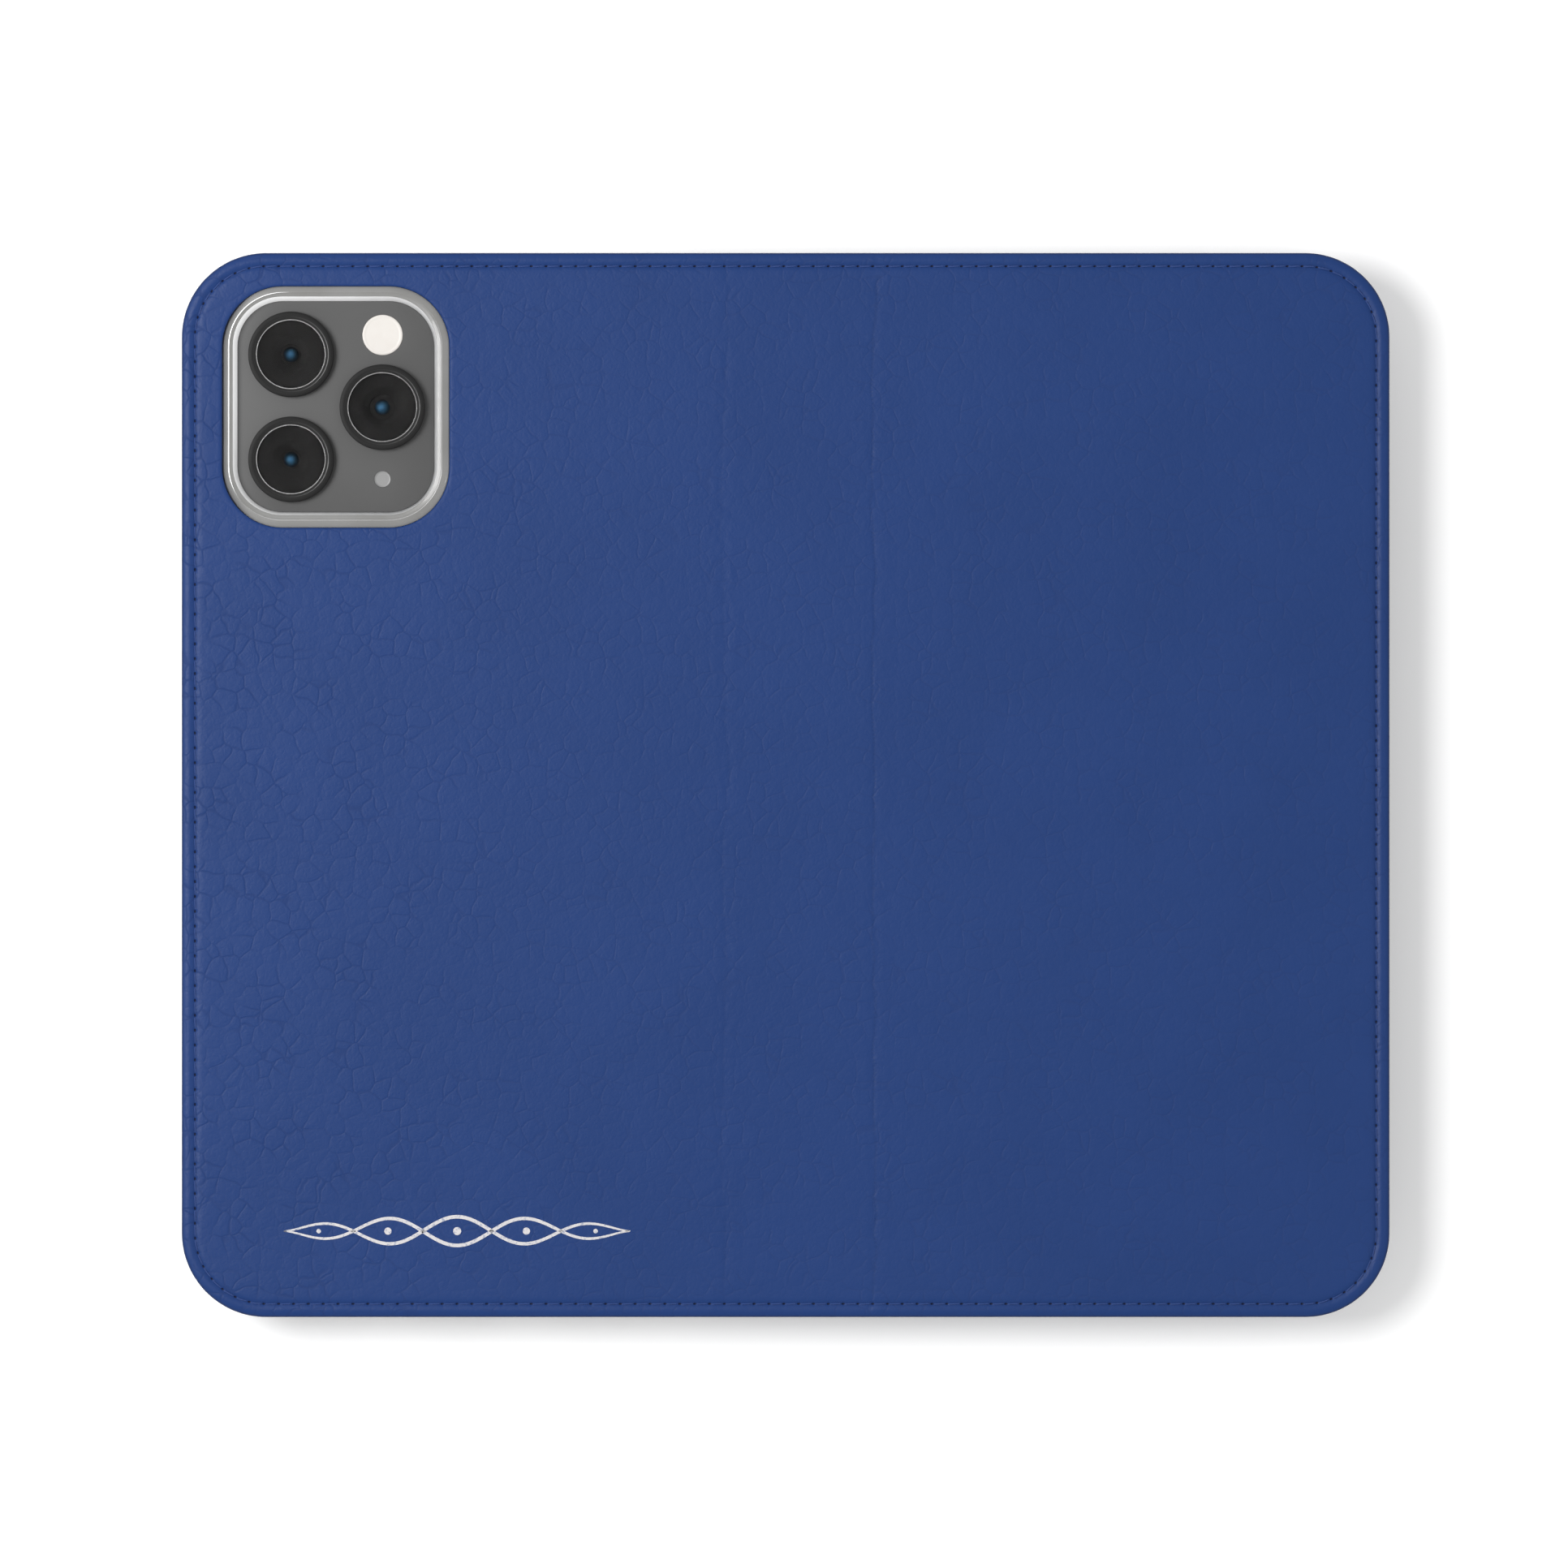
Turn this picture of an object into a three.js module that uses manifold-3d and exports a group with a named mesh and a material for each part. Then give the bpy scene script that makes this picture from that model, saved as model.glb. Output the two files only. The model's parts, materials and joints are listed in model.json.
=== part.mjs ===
// Phone wallet case of the book kind, with a phone in it, lying open with its outer side up.
//
// Millimetres, +Z up. X runs from the back cover's fore edge to the front cover's fore edge, and
// Y from the bottom of the phone to its top. The origin is under the middle of the open case, on
// the surface that the shell's rim rests on. The back cover carries a hard shell that holds the
// phone face down, the spine is a strip between two creases, and the front cover carries pockets.
import * as THREE from "three";
import { mergeVertices } from "three/addons/utils/BufferGeometryUtils.js";
import Module from "manifold-3d";

// Open cover
const COVER_WIDTH = 185;
const COVER_HEIGHT = 163;
const COVER_RADIUS = 12.9;
const CASE_HEIGHT = 12.6;
const BACK_CREASE_X = -9.4;
const FRONT_CREASE_X = 13.4;
const LEATHER_SLOT = 0.6; // half the break in the leather at a crease
const INNER_SLOT = 2.2; // half the break in the layers under the leather

// Layers, from the outer face inwards
const GLUE_LINE = 0.05;
const LEATHER_THICKNESS = 0.9;
const BOARD_THICKNESS = 0.8;
const SPINE_BOARD_THICKNESS = 0.6;
const LINING_THICKNESS = 0.4;
const ADHESIVE_THICKNESS = 0.25;
const EDGE_ROLL = 0.5; // radius of the turned edge
const HEM_WIDTH = 3.2; // leather turned in round the board
const BOARD_GAP = 0.3; // between a board and the hem round it
const LINING_INSET = 0.9;
const ADHESIVE_MARGIN = 3; // inside the phone's sides and bottom
const ADHESIVE_BELOW_WINDOW = 4;
const ADHESIVE_RADIUS = 6;

// Saddle stitch round the outer face
const STITCH_INSET = 2.05;
const GROOVE_WIDTH = 0.9;
const GROOVE_DEPTH = 0.25;
const THREAD_WIDTH = 0.5;
const THREAD_THICKNESS = 0.18;

// Camera window through the back cover
const WINDOW_X = -68.9;
const WINDOW_Y = 57.9;
const WINDOW_WIDTH = 34.8;
const WINDOW_HEIGHT = 37;
const WINDOW_RADIUS = 9.3;
const WINDOW_HEM = 3.6; // wide enough to run into the hem of the cover's edge

// Phone
const PHONE_X = -50.3;
const PHONE_WIDTH = 75.4;
const PHONE_HEIGHT = 157;
const PHONE_THICKNESS = 8.1;
const PHONE_RADIUS = 10.5;
const PHONE_EDGE_ROLL = 2.2;
const SCREEN_ABOVE_RIM = 0.75;
const GLASS_INSET = 2.5;
const GLASS_THICKNESS = 0.6;

// Camera module
const PLATEAU_WIDTH = 29.7;
const PLATEAU_HEIGHT = 32;
const PLATEAU_RADIUS = 6.7;
const PLATEAU_THICKNESS = 1.25;
const PLATEAU_ROLL = 0.3;
const LENS_RING_RADIUS = 6.55;
const LENS_RING_CHAMFER = 0.25;
const LENS_HEIGHT = 1.45;
const LENS_BORE_RADIUS = 4.4;
const LENS_SEAT_DEPTH = 0.75; // from the ring's top to the ledge under the cover glass
const LENS_GLASS_RADIUS = 5.3;
const LENS_GLASS_GAP = 0.1;
const LENS_GLASS_BELOW_RING = 0.15;
const LENS_GLASS_THICKNESS = 0.5;
const LENS_ELEMENT_RADIUS = 2.6;
const LENS_ELEMENT_EDGE = 0.3;
const LENS_ELEMENT_CROWN = 0.35;
const LENS_SHOULDER = { out: 0.6, up: 0.7 }; // share of the element's radius and of its crown
const LENS_PLACES = [
  [-75.8, 66],
  [-75.8, 49.9],
  [-61.8, 57.9],
];
const FLASH_PLACE = [-61.8, 69];
const FLASH_RADIUS = 3.1;
const MICROPHONE_PLACE = [-61.8, 46.9];
const MICROPHONE_RADIUS = 1.25;
const INLAY_DEPTH = 0.55;
const INLAY_GAP = 0.1;

// Shell
const SHELL_WALL = 1.1;
const SHELL_GAP = 0.2; // between the shell and the phone
const SHELL_ROLL = 1.2;
const LIP_GAP = 0.2; // between the shell's lip and the leather round it
const LIP_BELOW_FACE = 0.25;
const LIP_OPENING_WIDTH = 30.1;
const LIP_OPENING_HEIGHT = 32.4;
const LIP_OPENING_RADIUS = 6.9;
const CUTOUT_LOW = 1.9; // the sockets' cutouts are windows, and the buttons' are open at the rim
const CUTOUT_HIGH = 7.2;

// Buttons on the phone's long edges, and the sockets in its bottom edge
const BUTTON_PROUD = 0.4;
const BUTTON_DEPTH = 1.9;
const BUTTON_GAP = 0.15;
const BUTTON_CLEARANCE = 0.6; // behind a button, for its travel
const BUTTON_SIZE_Z = 2.4;
const BUTTON_ROLL = 0.2;
const BUTTON_END_SHARE = 0.45; // radius of a button's ends, as a share of its size in Z
const SIDE_BUTTON = { y: 24, length: 14, cutout: 18 };
const VOLUME_UP = { y: 32, length: 10, cutout: 13 };
const VOLUME_DOWN = { y: 16.5, length: 10, cutout: 13 };
const RING_SWITCH = { y: 47, length: 5.6, cutout: 9 };
const RING_SWITCH_SIZE_Z = 1.9;
const RING_SWITCH_TRAVEL = 1;
const PORT_WIDTH = 8.6;
const PORT_SIZE_Z = 2.8;
const PORT_DEPTH = 6.5;
const PORT_CUTOUT = 13;
const SPEAKER_CUTOUT = 16;
const SPEAKER_OFFSET = 22;

// Pockets on the inner side of the front cover
const POCKET_PANEL = 0.45;
const POCKET_SPACE = 0.15;
const POCKET_SEAM = 2;
const CASH_POCKET = { mouth: 17.5, depth: 69.5, right: 89, halfHeight: 76.5, radius: 9 };
const CARD_POCKET = { depth: 50, right: 88, halfHeight: 46, radius: 4 };
const CARD_POCKET_FIRST_MOUTH = 20.5;
const CARD_POCKET_STEP = 7.75;
const CARD_POCKET_COUNT = 3;

// Heights that follow
const LEATHER_BOTTOM = CASE_HEIGHT - LEATHER_THICKNESS;
const BOARD_TOP = LEATHER_BOTTOM - GLUE_LINE;
const COVER_HEM_BOTTOM = BOARD_TOP - BOARD_THICKNESS;
const SPINE_HEM_BOTTOM = BOARD_TOP - SPINE_BOARD_THICKNESS;
const COVER_LINING_TOP = COVER_HEM_BOTTOM - GLUE_LINE;
const COVER_LINING_BOTTOM = COVER_LINING_TOP - LINING_THICKNESS;
const ADHESIVE_TOP = COVER_LINING_BOTTOM - GLUE_LINE;
const SHELL_TOP = ADHESIVE_TOP - ADHESIVE_THICKNESS - GLUE_LINE;
const PHONE_BACK = SCREEN_ABOVE_RIM + PHONE_THICKNESS;
const PHONE_MIDDLE = SCREEN_ABOVE_RIM + PHONE_THICKNESS / 2;
const PLATEAU_BOTTOM = PHONE_BACK + GLUE_LINE;
const PLATEAU_TOP = PLATEAU_BOTTOM + PLATEAU_THICKNESS;
const PHONE_LEFT = PHONE_X - PHONE_WIDTH / 2;
const PHONE_RIGHT = PHONE_X + PHONE_WIDTH / 2;
const PHONE_BOTTOM_Y = -PHONE_HEIGHT / 2;
const FAR = 200; // beyond every piece
const PAST = 1; // how far a cutting solid runs past the face that it cuts

// Fineness of the round shapes
const CORNER_SEGMENTS = 5;
const BUTTON_CORNER_SEGMENTS = 2;
const ROLL_SEGMENTS = 2;
const ROUND_SEGMENTS = 36;
const SMALL_ROUND_SEGMENTS = 20;

const WELD = 1e-4; // points closer than this are one

const wasm = await Module();
wasm.setup();

// ---- Solids ----

function solidOf(geometry) {
  const bare = geometry.clone();
  bare.deleteAttribute("normal");
  bare.deleteAttribute("uv");
  const merged = mergeVertices(bare, WELD);
  const mesh = new wasm.Mesh({
    numProp: 3,
    vertProperties: merged.attributes.position.array,
    triVerts: new Uint32Array(merged.index.array),
  });
  return new wasm.Manifold(mesh);
}

function geometryOf(solid) {
  const mesh = solid.getMesh();
  const geometry = new THREE.BufferGeometry();
  geometry.setAttribute("position", new THREE.BufferAttribute(mesh.vertProperties, 3));
  geometry.setIndex(new THREE.BufferAttribute(mesh.triVerts, 1));
  geometry.computeVertexNormals();
  return geometry;
}

function cut(geometry, ...tools) {
  return geometryOf(tools.reduce((rest, tool) => rest.subtract(solidOf(tool)), solidOf(geometry)));
}

function join(geometry, other) {
  return geometryOf(solidOf(geometry).add(solidOf(other)));
}

function common(geometry, other) {
  return geometryOf(solidOf(geometry).intersect(solidOf(other)));
}

// ---- Outlines and plates ----

// Rounded rectangle, as a Shape or, for a hole, as a Path.
function roundedRect(x, y, width, height, radius, Kind = THREE.Shape) {
  const right = x + width / 2 - radius;
  const left = x - width / 2 + radius;
  const top = y + height / 2 - radius;
  const bottom = y - height / 2 + radius;
  const outline = new Kind();
  outline.moveTo(right + radius, bottom);
  outline.absarc(right, top, radius, 0, Math.PI / 2);
  outline.absarc(left, top, radius, Math.PI / 2, Math.PI);
  outline.absarc(left, bottom, radius, Math.PI, 1.5 * Math.PI);
  outline.absarc(right, bottom, radius, 1.5 * Math.PI, 2 * Math.PI);
  return outline;
}

function coverOutline(inset, Kind) {
  const width = COVER_WIDTH - 2 * inset;
  const height = COVER_HEIGHT - 2 * inset;
  return roundedRect(0, 0, width, height, COVER_RADIUS - inset, Kind);
}

function windowOutline(margin) {
  const width = WINDOW_WIDTH + 2 * margin;
  const height = WINDOW_HEIGHT + 2 * margin;
  return roundedRect(WINDOW_X, WINDOW_Y, width, height, WINDOW_RADIUS + margin);
}

function lipOpening() {
  const size = [LIP_OPENING_WIDTH, LIP_OPENING_HEIGHT, LIP_OPENING_RADIUS];
  return roundedRect(WINDOW_X, WINDOW_Y, ...size);
}

function phoneOutline(margin) {
  const width = PHONE_WIDTH + 2 * margin;
  const height = PHONE_HEIGHT + 2 * margin;
  return roundedRect(PHONE_X, 0, width, height, PHONE_RADIUS + margin);
}

// Plate with square edges between two heights. The holes are Paths.
function plate(shape, bottom, top, holes = []) {
  shape.holes = holes;
  const settings = { depth: top - bottom, bevelEnabled: false, curveSegments: CORNER_SEGMENTS };
  return new THREE.ExtrudeGeometry(shape, settings).translate(0, 0, bottom);
}

// Plate whose upper and lower edges are rolled to a radius inside its outline.
function rolledPlate(shape, bottom, top, roll, curveSegments = CORNER_SEGMENTS) {
  const settings = {
    depth: top - bottom - 2 * roll,
    bevelThickness: roll,
    bevelSize: roll,
    bevelOffset: -roll,
    bevelSegments: ROLL_SEGMENTS,
    curveSegments,
  };
  return new THREE.ExtrudeGeometry(shape, settings).translate(0, 0, bottom + roll);
}

function block(x0, x1, y0, y1, z0, z1) {
  const box = new THREE.BoxGeometry(x1 - x0, y1 - y0, z1 - z0);
  return box.translate((x0 + x1) / 2, (y0 + y1) / 2, (z0 + z1) / 2);
}

function disc(x, y, radius, bottom, top) {
  const segments = radius < LENS_GLASS_RADIUS ? SMALL_ROUND_SEGMENTS : ROUND_SEGMENTS;
  const cylinder = new THREE.CylinderGeometry(radius, radius, top - bottom, segments);
  return cylinder.rotateX(Math.PI / 2).translate(x, y, (bottom + top) / 2);
}

// Round piece turned about a vertical axis from [radius, height] points.
function turned(x, y, profile, segments = ROUND_SEGMENTS) {
  const points = profile.map(([radius, height]) => new THREE.Vector2(radius, height));
  const lathe = new THREE.LatheGeometry(points, segments);
  return lathe.rotateX(Math.PI / 2).translate(x, y, 0);
}

// ---- Covers and spine ----

// Leather of one panel: the outer skin and the edge turned in round its board.
function leatherPanel(x0, x1, hemBottom) {
  const skin = rolledPlate(coverOutline(0), hemBottom, CASE_HEIGHT, EDGE_ROLL);
  const recess = cut(
    plate(coverOutline(HEM_WIDTH), hemBottom - PAST, LEATHER_BOTTOM),
    plate(windowOutline(WINDOW_HEM), hemBottom - 2 * PAST, CASE_HEIGHT),
  );
  const groove = plate(
    coverOutline(STITCH_INSET - GROOVE_WIDTH / 2),
    CASE_HEIGHT - GROOVE_DEPTH,
    CASE_HEIGHT + PAST,
    [coverOutline(STITCH_INSET + GROOVE_WIDTH / 2, THREE.Path)],
  );
  const creases = [BACK_CREASE_X, FRONT_CREASE_X].map((x) =>
    block(x - INNER_SLOT, x + INNER_SLOT, -FAR, FAR, hemBottom - PAST, LEATHER_BOTTOM),
  );
  const opening = plate(windowOutline(0), hemBottom - PAST, CASE_HEIGHT + PAST);
  const span = block(x0, x1, -FAR, FAR, 0, CASE_HEIGHT + PAST);
  return common(cut(skin, recess, groove, opening, ...creases), span);
}

// Flat layer of one panel, inset from the cover's outline.
function layerPanel(x0, x1, inset, bottom, top, windowMargin) {
  const layer = plate(coverOutline(inset), bottom, top);
  const opening = plate(windowOutline(windowMargin), bottom - PAST, top + PAST);
  return common(cut(layer, opening), block(x0, x1, -FAR, FAR, bottom - PAST, top + PAST));
}

function boardPanel(x0, x1, thickness) {
  const inset = HEM_WIDTH + BOARD_GAP;
  return layerPanel(x0, x1, inset, BOARD_TOP - thickness, BOARD_TOP, WINDOW_HEM + BOARD_GAP);
}

function liningPanel(x0, x1, top) {
  return layerPanel(x0, x1, LINING_INSET, top - LINING_THICKNESS, top, 0);
}

// Thread in the groove, between two places across the cover.
function threadRun(x0, x1, y0 = -FAR, y1 = FAR) {
  const bottom = CASE_HEIGHT - GROOVE_DEPTH + GLUE_LINE;
  const ring = plate(
    coverOutline(STITCH_INSET - THREAD_WIDTH / 2),
    bottom,
    bottom + THREAD_THICKNESS,
    [coverOutline(STITCH_INSET + THREAD_WIDTH / 2, THREE.Path)],
  );
  return common(ring, block(x0, x1, y0, y1, 0, CASE_HEIGHT + PAST));
}

function adhesivePad() {
  const top = WINDOW_Y - WINDOW_HEIGHT / 2 - ADHESIVE_BELOW_WINDOW;
  const bottom = PHONE_BOTTOM_Y + ADHESIVE_MARGIN;
  const width = PHONE_WIDTH - 2 * ADHESIVE_MARGIN;
  const middle = (top + bottom) / 2;
  const outline = roundedRect(PHONE_X, middle, width, top - bottom, ADHESIVE_RADIUS);
  return plate(outline, ADHESIVE_TOP - ADHESIVE_THICKNESS, ADHESIVE_TOP);
}

// ---- Shell ----

function shell() {
  const outer = rolledPlate(phoneOutline(SHELL_GAP + SHELL_WALL), -FAR, SHELL_TOP, SHELL_ROLL);
  const lip = plate(windowOutline(-LIP_GAP), SHELL_TOP - PAST, CASE_HEIGHT - LIP_BELOW_FACE);
  const cavity = plate(phoneOutline(SHELL_GAP), -FAR, PHONE_BACK + SHELL_GAP / 2);
  const below = block(-FAR, FAR, -FAR, FAR, -2 * FAR, 0);
  const opening = plate(lipOpening(), 0, CASE_HEIGHT + PAST);
  const cutouts = [
    buttonNotch(SIDE_BUTTON, PHONE_LEFT),
    buttonNotch(VOLUME_UP, PHONE_RIGHT),
    buttonNotch(VOLUME_DOWN, PHONE_RIGHT),
    buttonNotch(RING_SWITCH, PHONE_RIGHT),
    socketWindow(0, PORT_CUTOUT),
    socketWindow(-SPEAKER_OFFSET, SPEAKER_CUTOUT),
    socketWindow(SPEAKER_OFFSET, SPEAKER_CUTOUT),
  ];
  return cut(join(outer, lip), cavity, below, opening, ...cutouts);
}

// Notch at a button, open at the rim, so that the phone comes out past it with its button.
function buttonNotch(button, edgeX) {
  const half = button.cutout / 2;
  const reach = 2 * SHELL_WALL;
  return block(edgeX - reach, edgeX + reach, button.y - half, button.y + half, -PAST, CUTOUT_HIGH);
}

// Window in the bottom wall, for the charging socket or a speaker.
function socketWindow(offset, width) {
  const x = PHONE_X + offset;
  const reach = 2 * SHELL_WALL;
  return block(
    x - width / 2,
    x + width / 2,
    PHONE_BOTTOM_Y - reach,
    PHONE_BOTTOM_Y + reach,
    CUTOUT_LOW,
    CUTOUT_HIGH,
  );
}

// ---- Phone ----

function phoneBody() {
  const band = rolledPlate(phoneOutline(0), SCREEN_ABOVE_RIM, PHONE_BACK, PHONE_EDGE_ROLL);
  const seat = -GLASS_INSET + INLAY_GAP;
  const depth = GLASS_THICKNESS + GLUE_LINE;
  const backSeat = plate(phoneOutline(seat), PHONE_BACK - depth, PHONE_BACK + PAST);
  const screenSeat = plate(phoneOutline(seat), SCREEN_ABOVE_RIM - PAST, SCREEN_ABOVE_RIM + depth);
  const wells = [
    buttonWell(SIDE_BUTTON, PHONE_LEFT, BUTTON_SIZE_Z),
    buttonWell(VOLUME_UP, PHONE_RIGHT, BUTTON_SIZE_Z),
    buttonWell(VOLUME_DOWN, PHONE_RIGHT, BUTTON_SIZE_Z),
    buttonWell(RING_SWITCH, PHONE_RIGHT, RING_SWITCH_SIZE_Z + RING_SWITCH_TRAVEL),
  ];
  const port = block(
    PHONE_X - PORT_WIDTH / 2,
    PHONE_X + PORT_WIDTH / 2,
    PHONE_BOTTOM_Y - PAST,
    PHONE_BOTTOM_Y + PORT_DEPTH,
    PHONE_MIDDLE - PORT_SIZE_Z / 2,
    PHONE_MIDDLE + PORT_SIZE_Z / 2,
  );
  return cut(band, backSeat, screenSeat, port, ...wells);
}

// Well in the phone's edge round a button, deep enough for its travel.
function buttonWell(button, edgeX, sizeZ) {
  const reach = BUTTON_DEPTH - BUTTON_PROUD + BUTTON_CLEARANCE;
  const half = button.length / 2 + BUTTON_GAP;
  return block(
    edgeX - reach,
    edgeX + reach,
    button.y - half,
    button.y + half,
    PHONE_MIDDLE - sizeZ / 2 - BUTTON_GAP,
    PHONE_MIDDLE + sizeZ / 2 + BUTTON_GAP,
  );
}

// Button standing a little proud of the phone's edge. Outward is -1 on the left, 1 on the right.
function button(place, edgeX, outward, sizeZ, middleZ) {
  const ends = sizeZ * BUTTON_END_SHARE;
  const outline = roundedRect(place.y, middleZ, place.length, sizeZ, ends);
  const body = rolledPlate(outline, 0, BUTTON_DEPTH, BUTTON_ROLL, BUTTON_CORNER_SEGMENTS);
  const face = edgeX + outward * BUTTON_PROUD;
  const turn = new THREE.Matrix4().set(0, 0, 1, 0, 1, 0, 0, 0, 0, 1, 0, 0, 0, 0, 0, 1);
  const start = outward > 0 ? face - BUTTON_DEPTH : face;
  return body.applyMatrix4(turn).translate(start, 0, 0);
}

function cameraPlateau() {
  const outline = roundedRect(WINDOW_X, WINDOW_Y, PLATEAU_WIDTH, PLATEAU_HEIGHT, PLATEAU_RADIUS);
  const slab = rolledPlate(outline, PLATEAU_BOTTOM, PLATEAU_TOP, PLATEAU_ROLL);
  const floor = PLATEAU_TOP - INLAY_DEPTH - GLUE_LINE;
  const flashSeat = disc(...FLASH_PLACE, FLASH_RADIUS + INLAY_GAP, floor, PLATEAU_TOP + PAST);
  const microphoneSeat = disc(
    ...MICROPHONE_PLACE,
    MICROPHONE_RADIUS + INLAY_GAP,
    floor,
    PLATEAU_TOP + PAST,
  );
  return cut(slab, flashSeat, microphoneSeat);
}

// Metal ring of one lens: a stepped tube that the cover glass sits in.
function lensRing([x, y]) {
  const bottom = PLATEAU_TOP + GLUE_LINE;
  const top = bottom + LENS_HEIGHT;
  const ledge = top - LENS_SEAT_DEPTH;
  return turned(x, y, [
    [LENS_BORE_RADIUS, bottom],
    [LENS_RING_RADIUS, bottom],
    [LENS_RING_RADIUS, top - LENS_RING_CHAMFER],
    [LENS_RING_RADIUS - LENS_RING_CHAMFER, top],
    [LENS_GLASS_RADIUS + LENS_GLASS_GAP, top],
    [LENS_GLASS_RADIUS + LENS_GLASS_GAP, ledge],
    [LENS_BORE_RADIUS, ledge],
    [LENS_BORE_RADIUS, bottom],
  ]);
}

function lensGlass([x, y]) {
  const top = PLATEAU_TOP + GLUE_LINE + LENS_HEIGHT - LENS_GLASS_BELOW_RING;
  return disc(x, y, LENS_GLASS_RADIUS, top - LENS_GLASS_THICKNESS, top);
}

// Domed front element under the cover glass.
function lensElement([x, y]) {
  const bottom = PLATEAU_TOP + GLUE_LINE;
  const edge = bottom + LENS_ELEMENT_EDGE;
  const profile = [
    [0, bottom],
    [LENS_ELEMENT_RADIUS, bottom],
    [LENS_ELEMENT_RADIUS, edge],
    [LENS_ELEMENT_RADIUS * LENS_SHOULDER.out, edge + LENS_ELEMENT_CROWN * LENS_SHOULDER.up],
    [0, edge + LENS_ELEMENT_CROWN],
  ];
  return turned(x, y, profile, SMALL_ROUND_SEGMENTS);
}

// ---- Pockets ----

// Flat pocket on the inner side of the front cover, with its mouth towards the spine. The level
// counts from the cover, and a seam on the other three sides stands the panel off the layer
// above it. The depth runs from the mouth to the seam at the pocket's bottom.
function pocket({ mouth, depth, right, halfHeight, radius }, level) {
  const ceiling = COVER_LINING_BOTTOM - GLUE_LINE;
  const pitch = POCKET_PANEL + POCKET_SPACE + GLUE_LINE;
  const top = ceiling - level * pitch;
  const bottom = top - POCKET_SPACE - POCKET_PANEL;
  const left = mouth - 2 * radius;
  const outline = roundedRect((left + right) / 2, 0, right - left, 2 * halfHeight, radius);
  const inside = block(
    left - PAST,
    mouth + depth,
    -halfHeight + POCKET_SEAM,
    halfHeight - POCKET_SEAM,
    top - POCKET_SPACE,
    top + PAST,
  );
  const beforeMouth = block(left - PAST, mouth, -FAR, FAR, bottom - PAST, top + PAST);
  return cut(plate(outline, bottom, top), inside, beforeMouth);
}

// ---- Materials ----

function material(color, roughness, metalness = 0, opacity = 1) {
  const transparent = opacity < 1;
  return new THREE.MeshStandardMaterial({ color, roughness, metalness, opacity, transparent });
}

const MATERIALS = {
  leather: material(0x2c4380, 0.55),
  board: material(0x8d8272, 0.9),
  lining: material(0x1d2027, 0.85),
  pocket: material(0x20232b, 0.6),
  thread: material(0x5b7fcb, 0.7),
  shell: material(0xb4b7bb, 0.3, 0, 0.6),
  adhesive: material(0xe8e6df, 0.6),
  frame: material(0x565759, 0.3, 1),
  backGlass: material(0x4c4d4f, 0.5),
  screen: material(0x08090b, 0.08),
  plateau: material(0x656565, 0.5),
  lensRing: material(0x2f3032, 0.3, 0.9),
  lensGlass: material(0x0a0c10, 0.05, 0, 0.5),
  lensElement: material(0x10243f, 0.1),
  flash: material(0xf4efe8, 0.4),
  microphone: material(0x9a9a9a, 0.6),
};

// ---- Assembly ----

const root = new THREE.Group();

function add(group, name, geometry, materialName) {
  const mesh = new THREE.Mesh(geometry, MATERIALS[materialName]);
  mesh.name = name;
  group.add(mesh);
}

function buildBackCover() {
  const group = new THREE.Group();
  const leatherEnd = BACK_CREASE_X - LEATHER_SLOT;
  const innerEnd = BACK_CREASE_X - INNER_SLOT;
  add(group, "back_leather", leatherPanel(-FAR, leatherEnd, COVER_HEM_BOTTOM), "leather");
  add(group, "back_board", boardPanel(-FAR, innerEnd, BOARD_THICKNESS), "board");
  add(group, "back_lining", liningPanel(-FAR, innerEnd, COVER_LINING_TOP), "lining");
  add(group, "back_thread", threadRun(-FAR, leatherEnd), "thread");
  add(group, "shell_adhesive", adhesivePad(), "adhesive");
  add(group, "shell", shell(), "shell");
  return group;
}

function buildSpine() {
  const group = new THREE.Group();
  const leatherSpan = [BACK_CREASE_X + LEATHER_SLOT, FRONT_CREASE_X - LEATHER_SLOT];
  const innerSpan = [BACK_CREASE_X + INNER_SLOT, FRONT_CREASE_X - INNER_SLOT];
  const liningTop = SPINE_HEM_BOTTOM - GLUE_LINE;
  add(group, "spine_leather", leatherPanel(...leatherSpan, SPINE_HEM_BOTTOM), "leather");
  add(group, "spine_board", boardPanel(...innerSpan, SPINE_BOARD_THICKNESS), "board");
  add(group, "spine_lining", liningPanel(...innerSpan, liningTop), "lining");
  add(group, "spine_thread_top", threadRun(...leatherSpan, 0, FAR), "thread");
  add(group, "spine_thread_bottom", threadRun(...leatherSpan, -FAR, 0), "thread");
  return group;
}

function buildFrontCover() {
  const group = new THREE.Group();
  const leatherStart = FRONT_CREASE_X + LEATHER_SLOT;
  const innerStart = FRONT_CREASE_X + INNER_SLOT;
  add(group, "front_leather", leatherPanel(leatherStart, FAR, COVER_HEM_BOTTOM), "leather");
  add(group, "front_board", boardPanel(innerStart, FAR, BOARD_THICKNESS), "board");
  add(group, "front_lining", liningPanel(innerStart, FAR, COVER_LINING_TOP), "lining");
  add(group, "front_thread", threadRun(leatherStart, FAR), "thread");
  add(group, "cash_pocket", pocket(CASH_POCKET, 0), "pocket");
  for (let level = 1; level <= CARD_POCKET_COUNT; level++) {
    const mouth = CARD_POCKET_FIRST_MOUTH + (level - 1) * CARD_POCKET_STEP;
    add(group, `card_pocket_${level}`, pocket({ ...CARD_POCKET, mouth }, level), "pocket");
  }
  return group;
}

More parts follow.
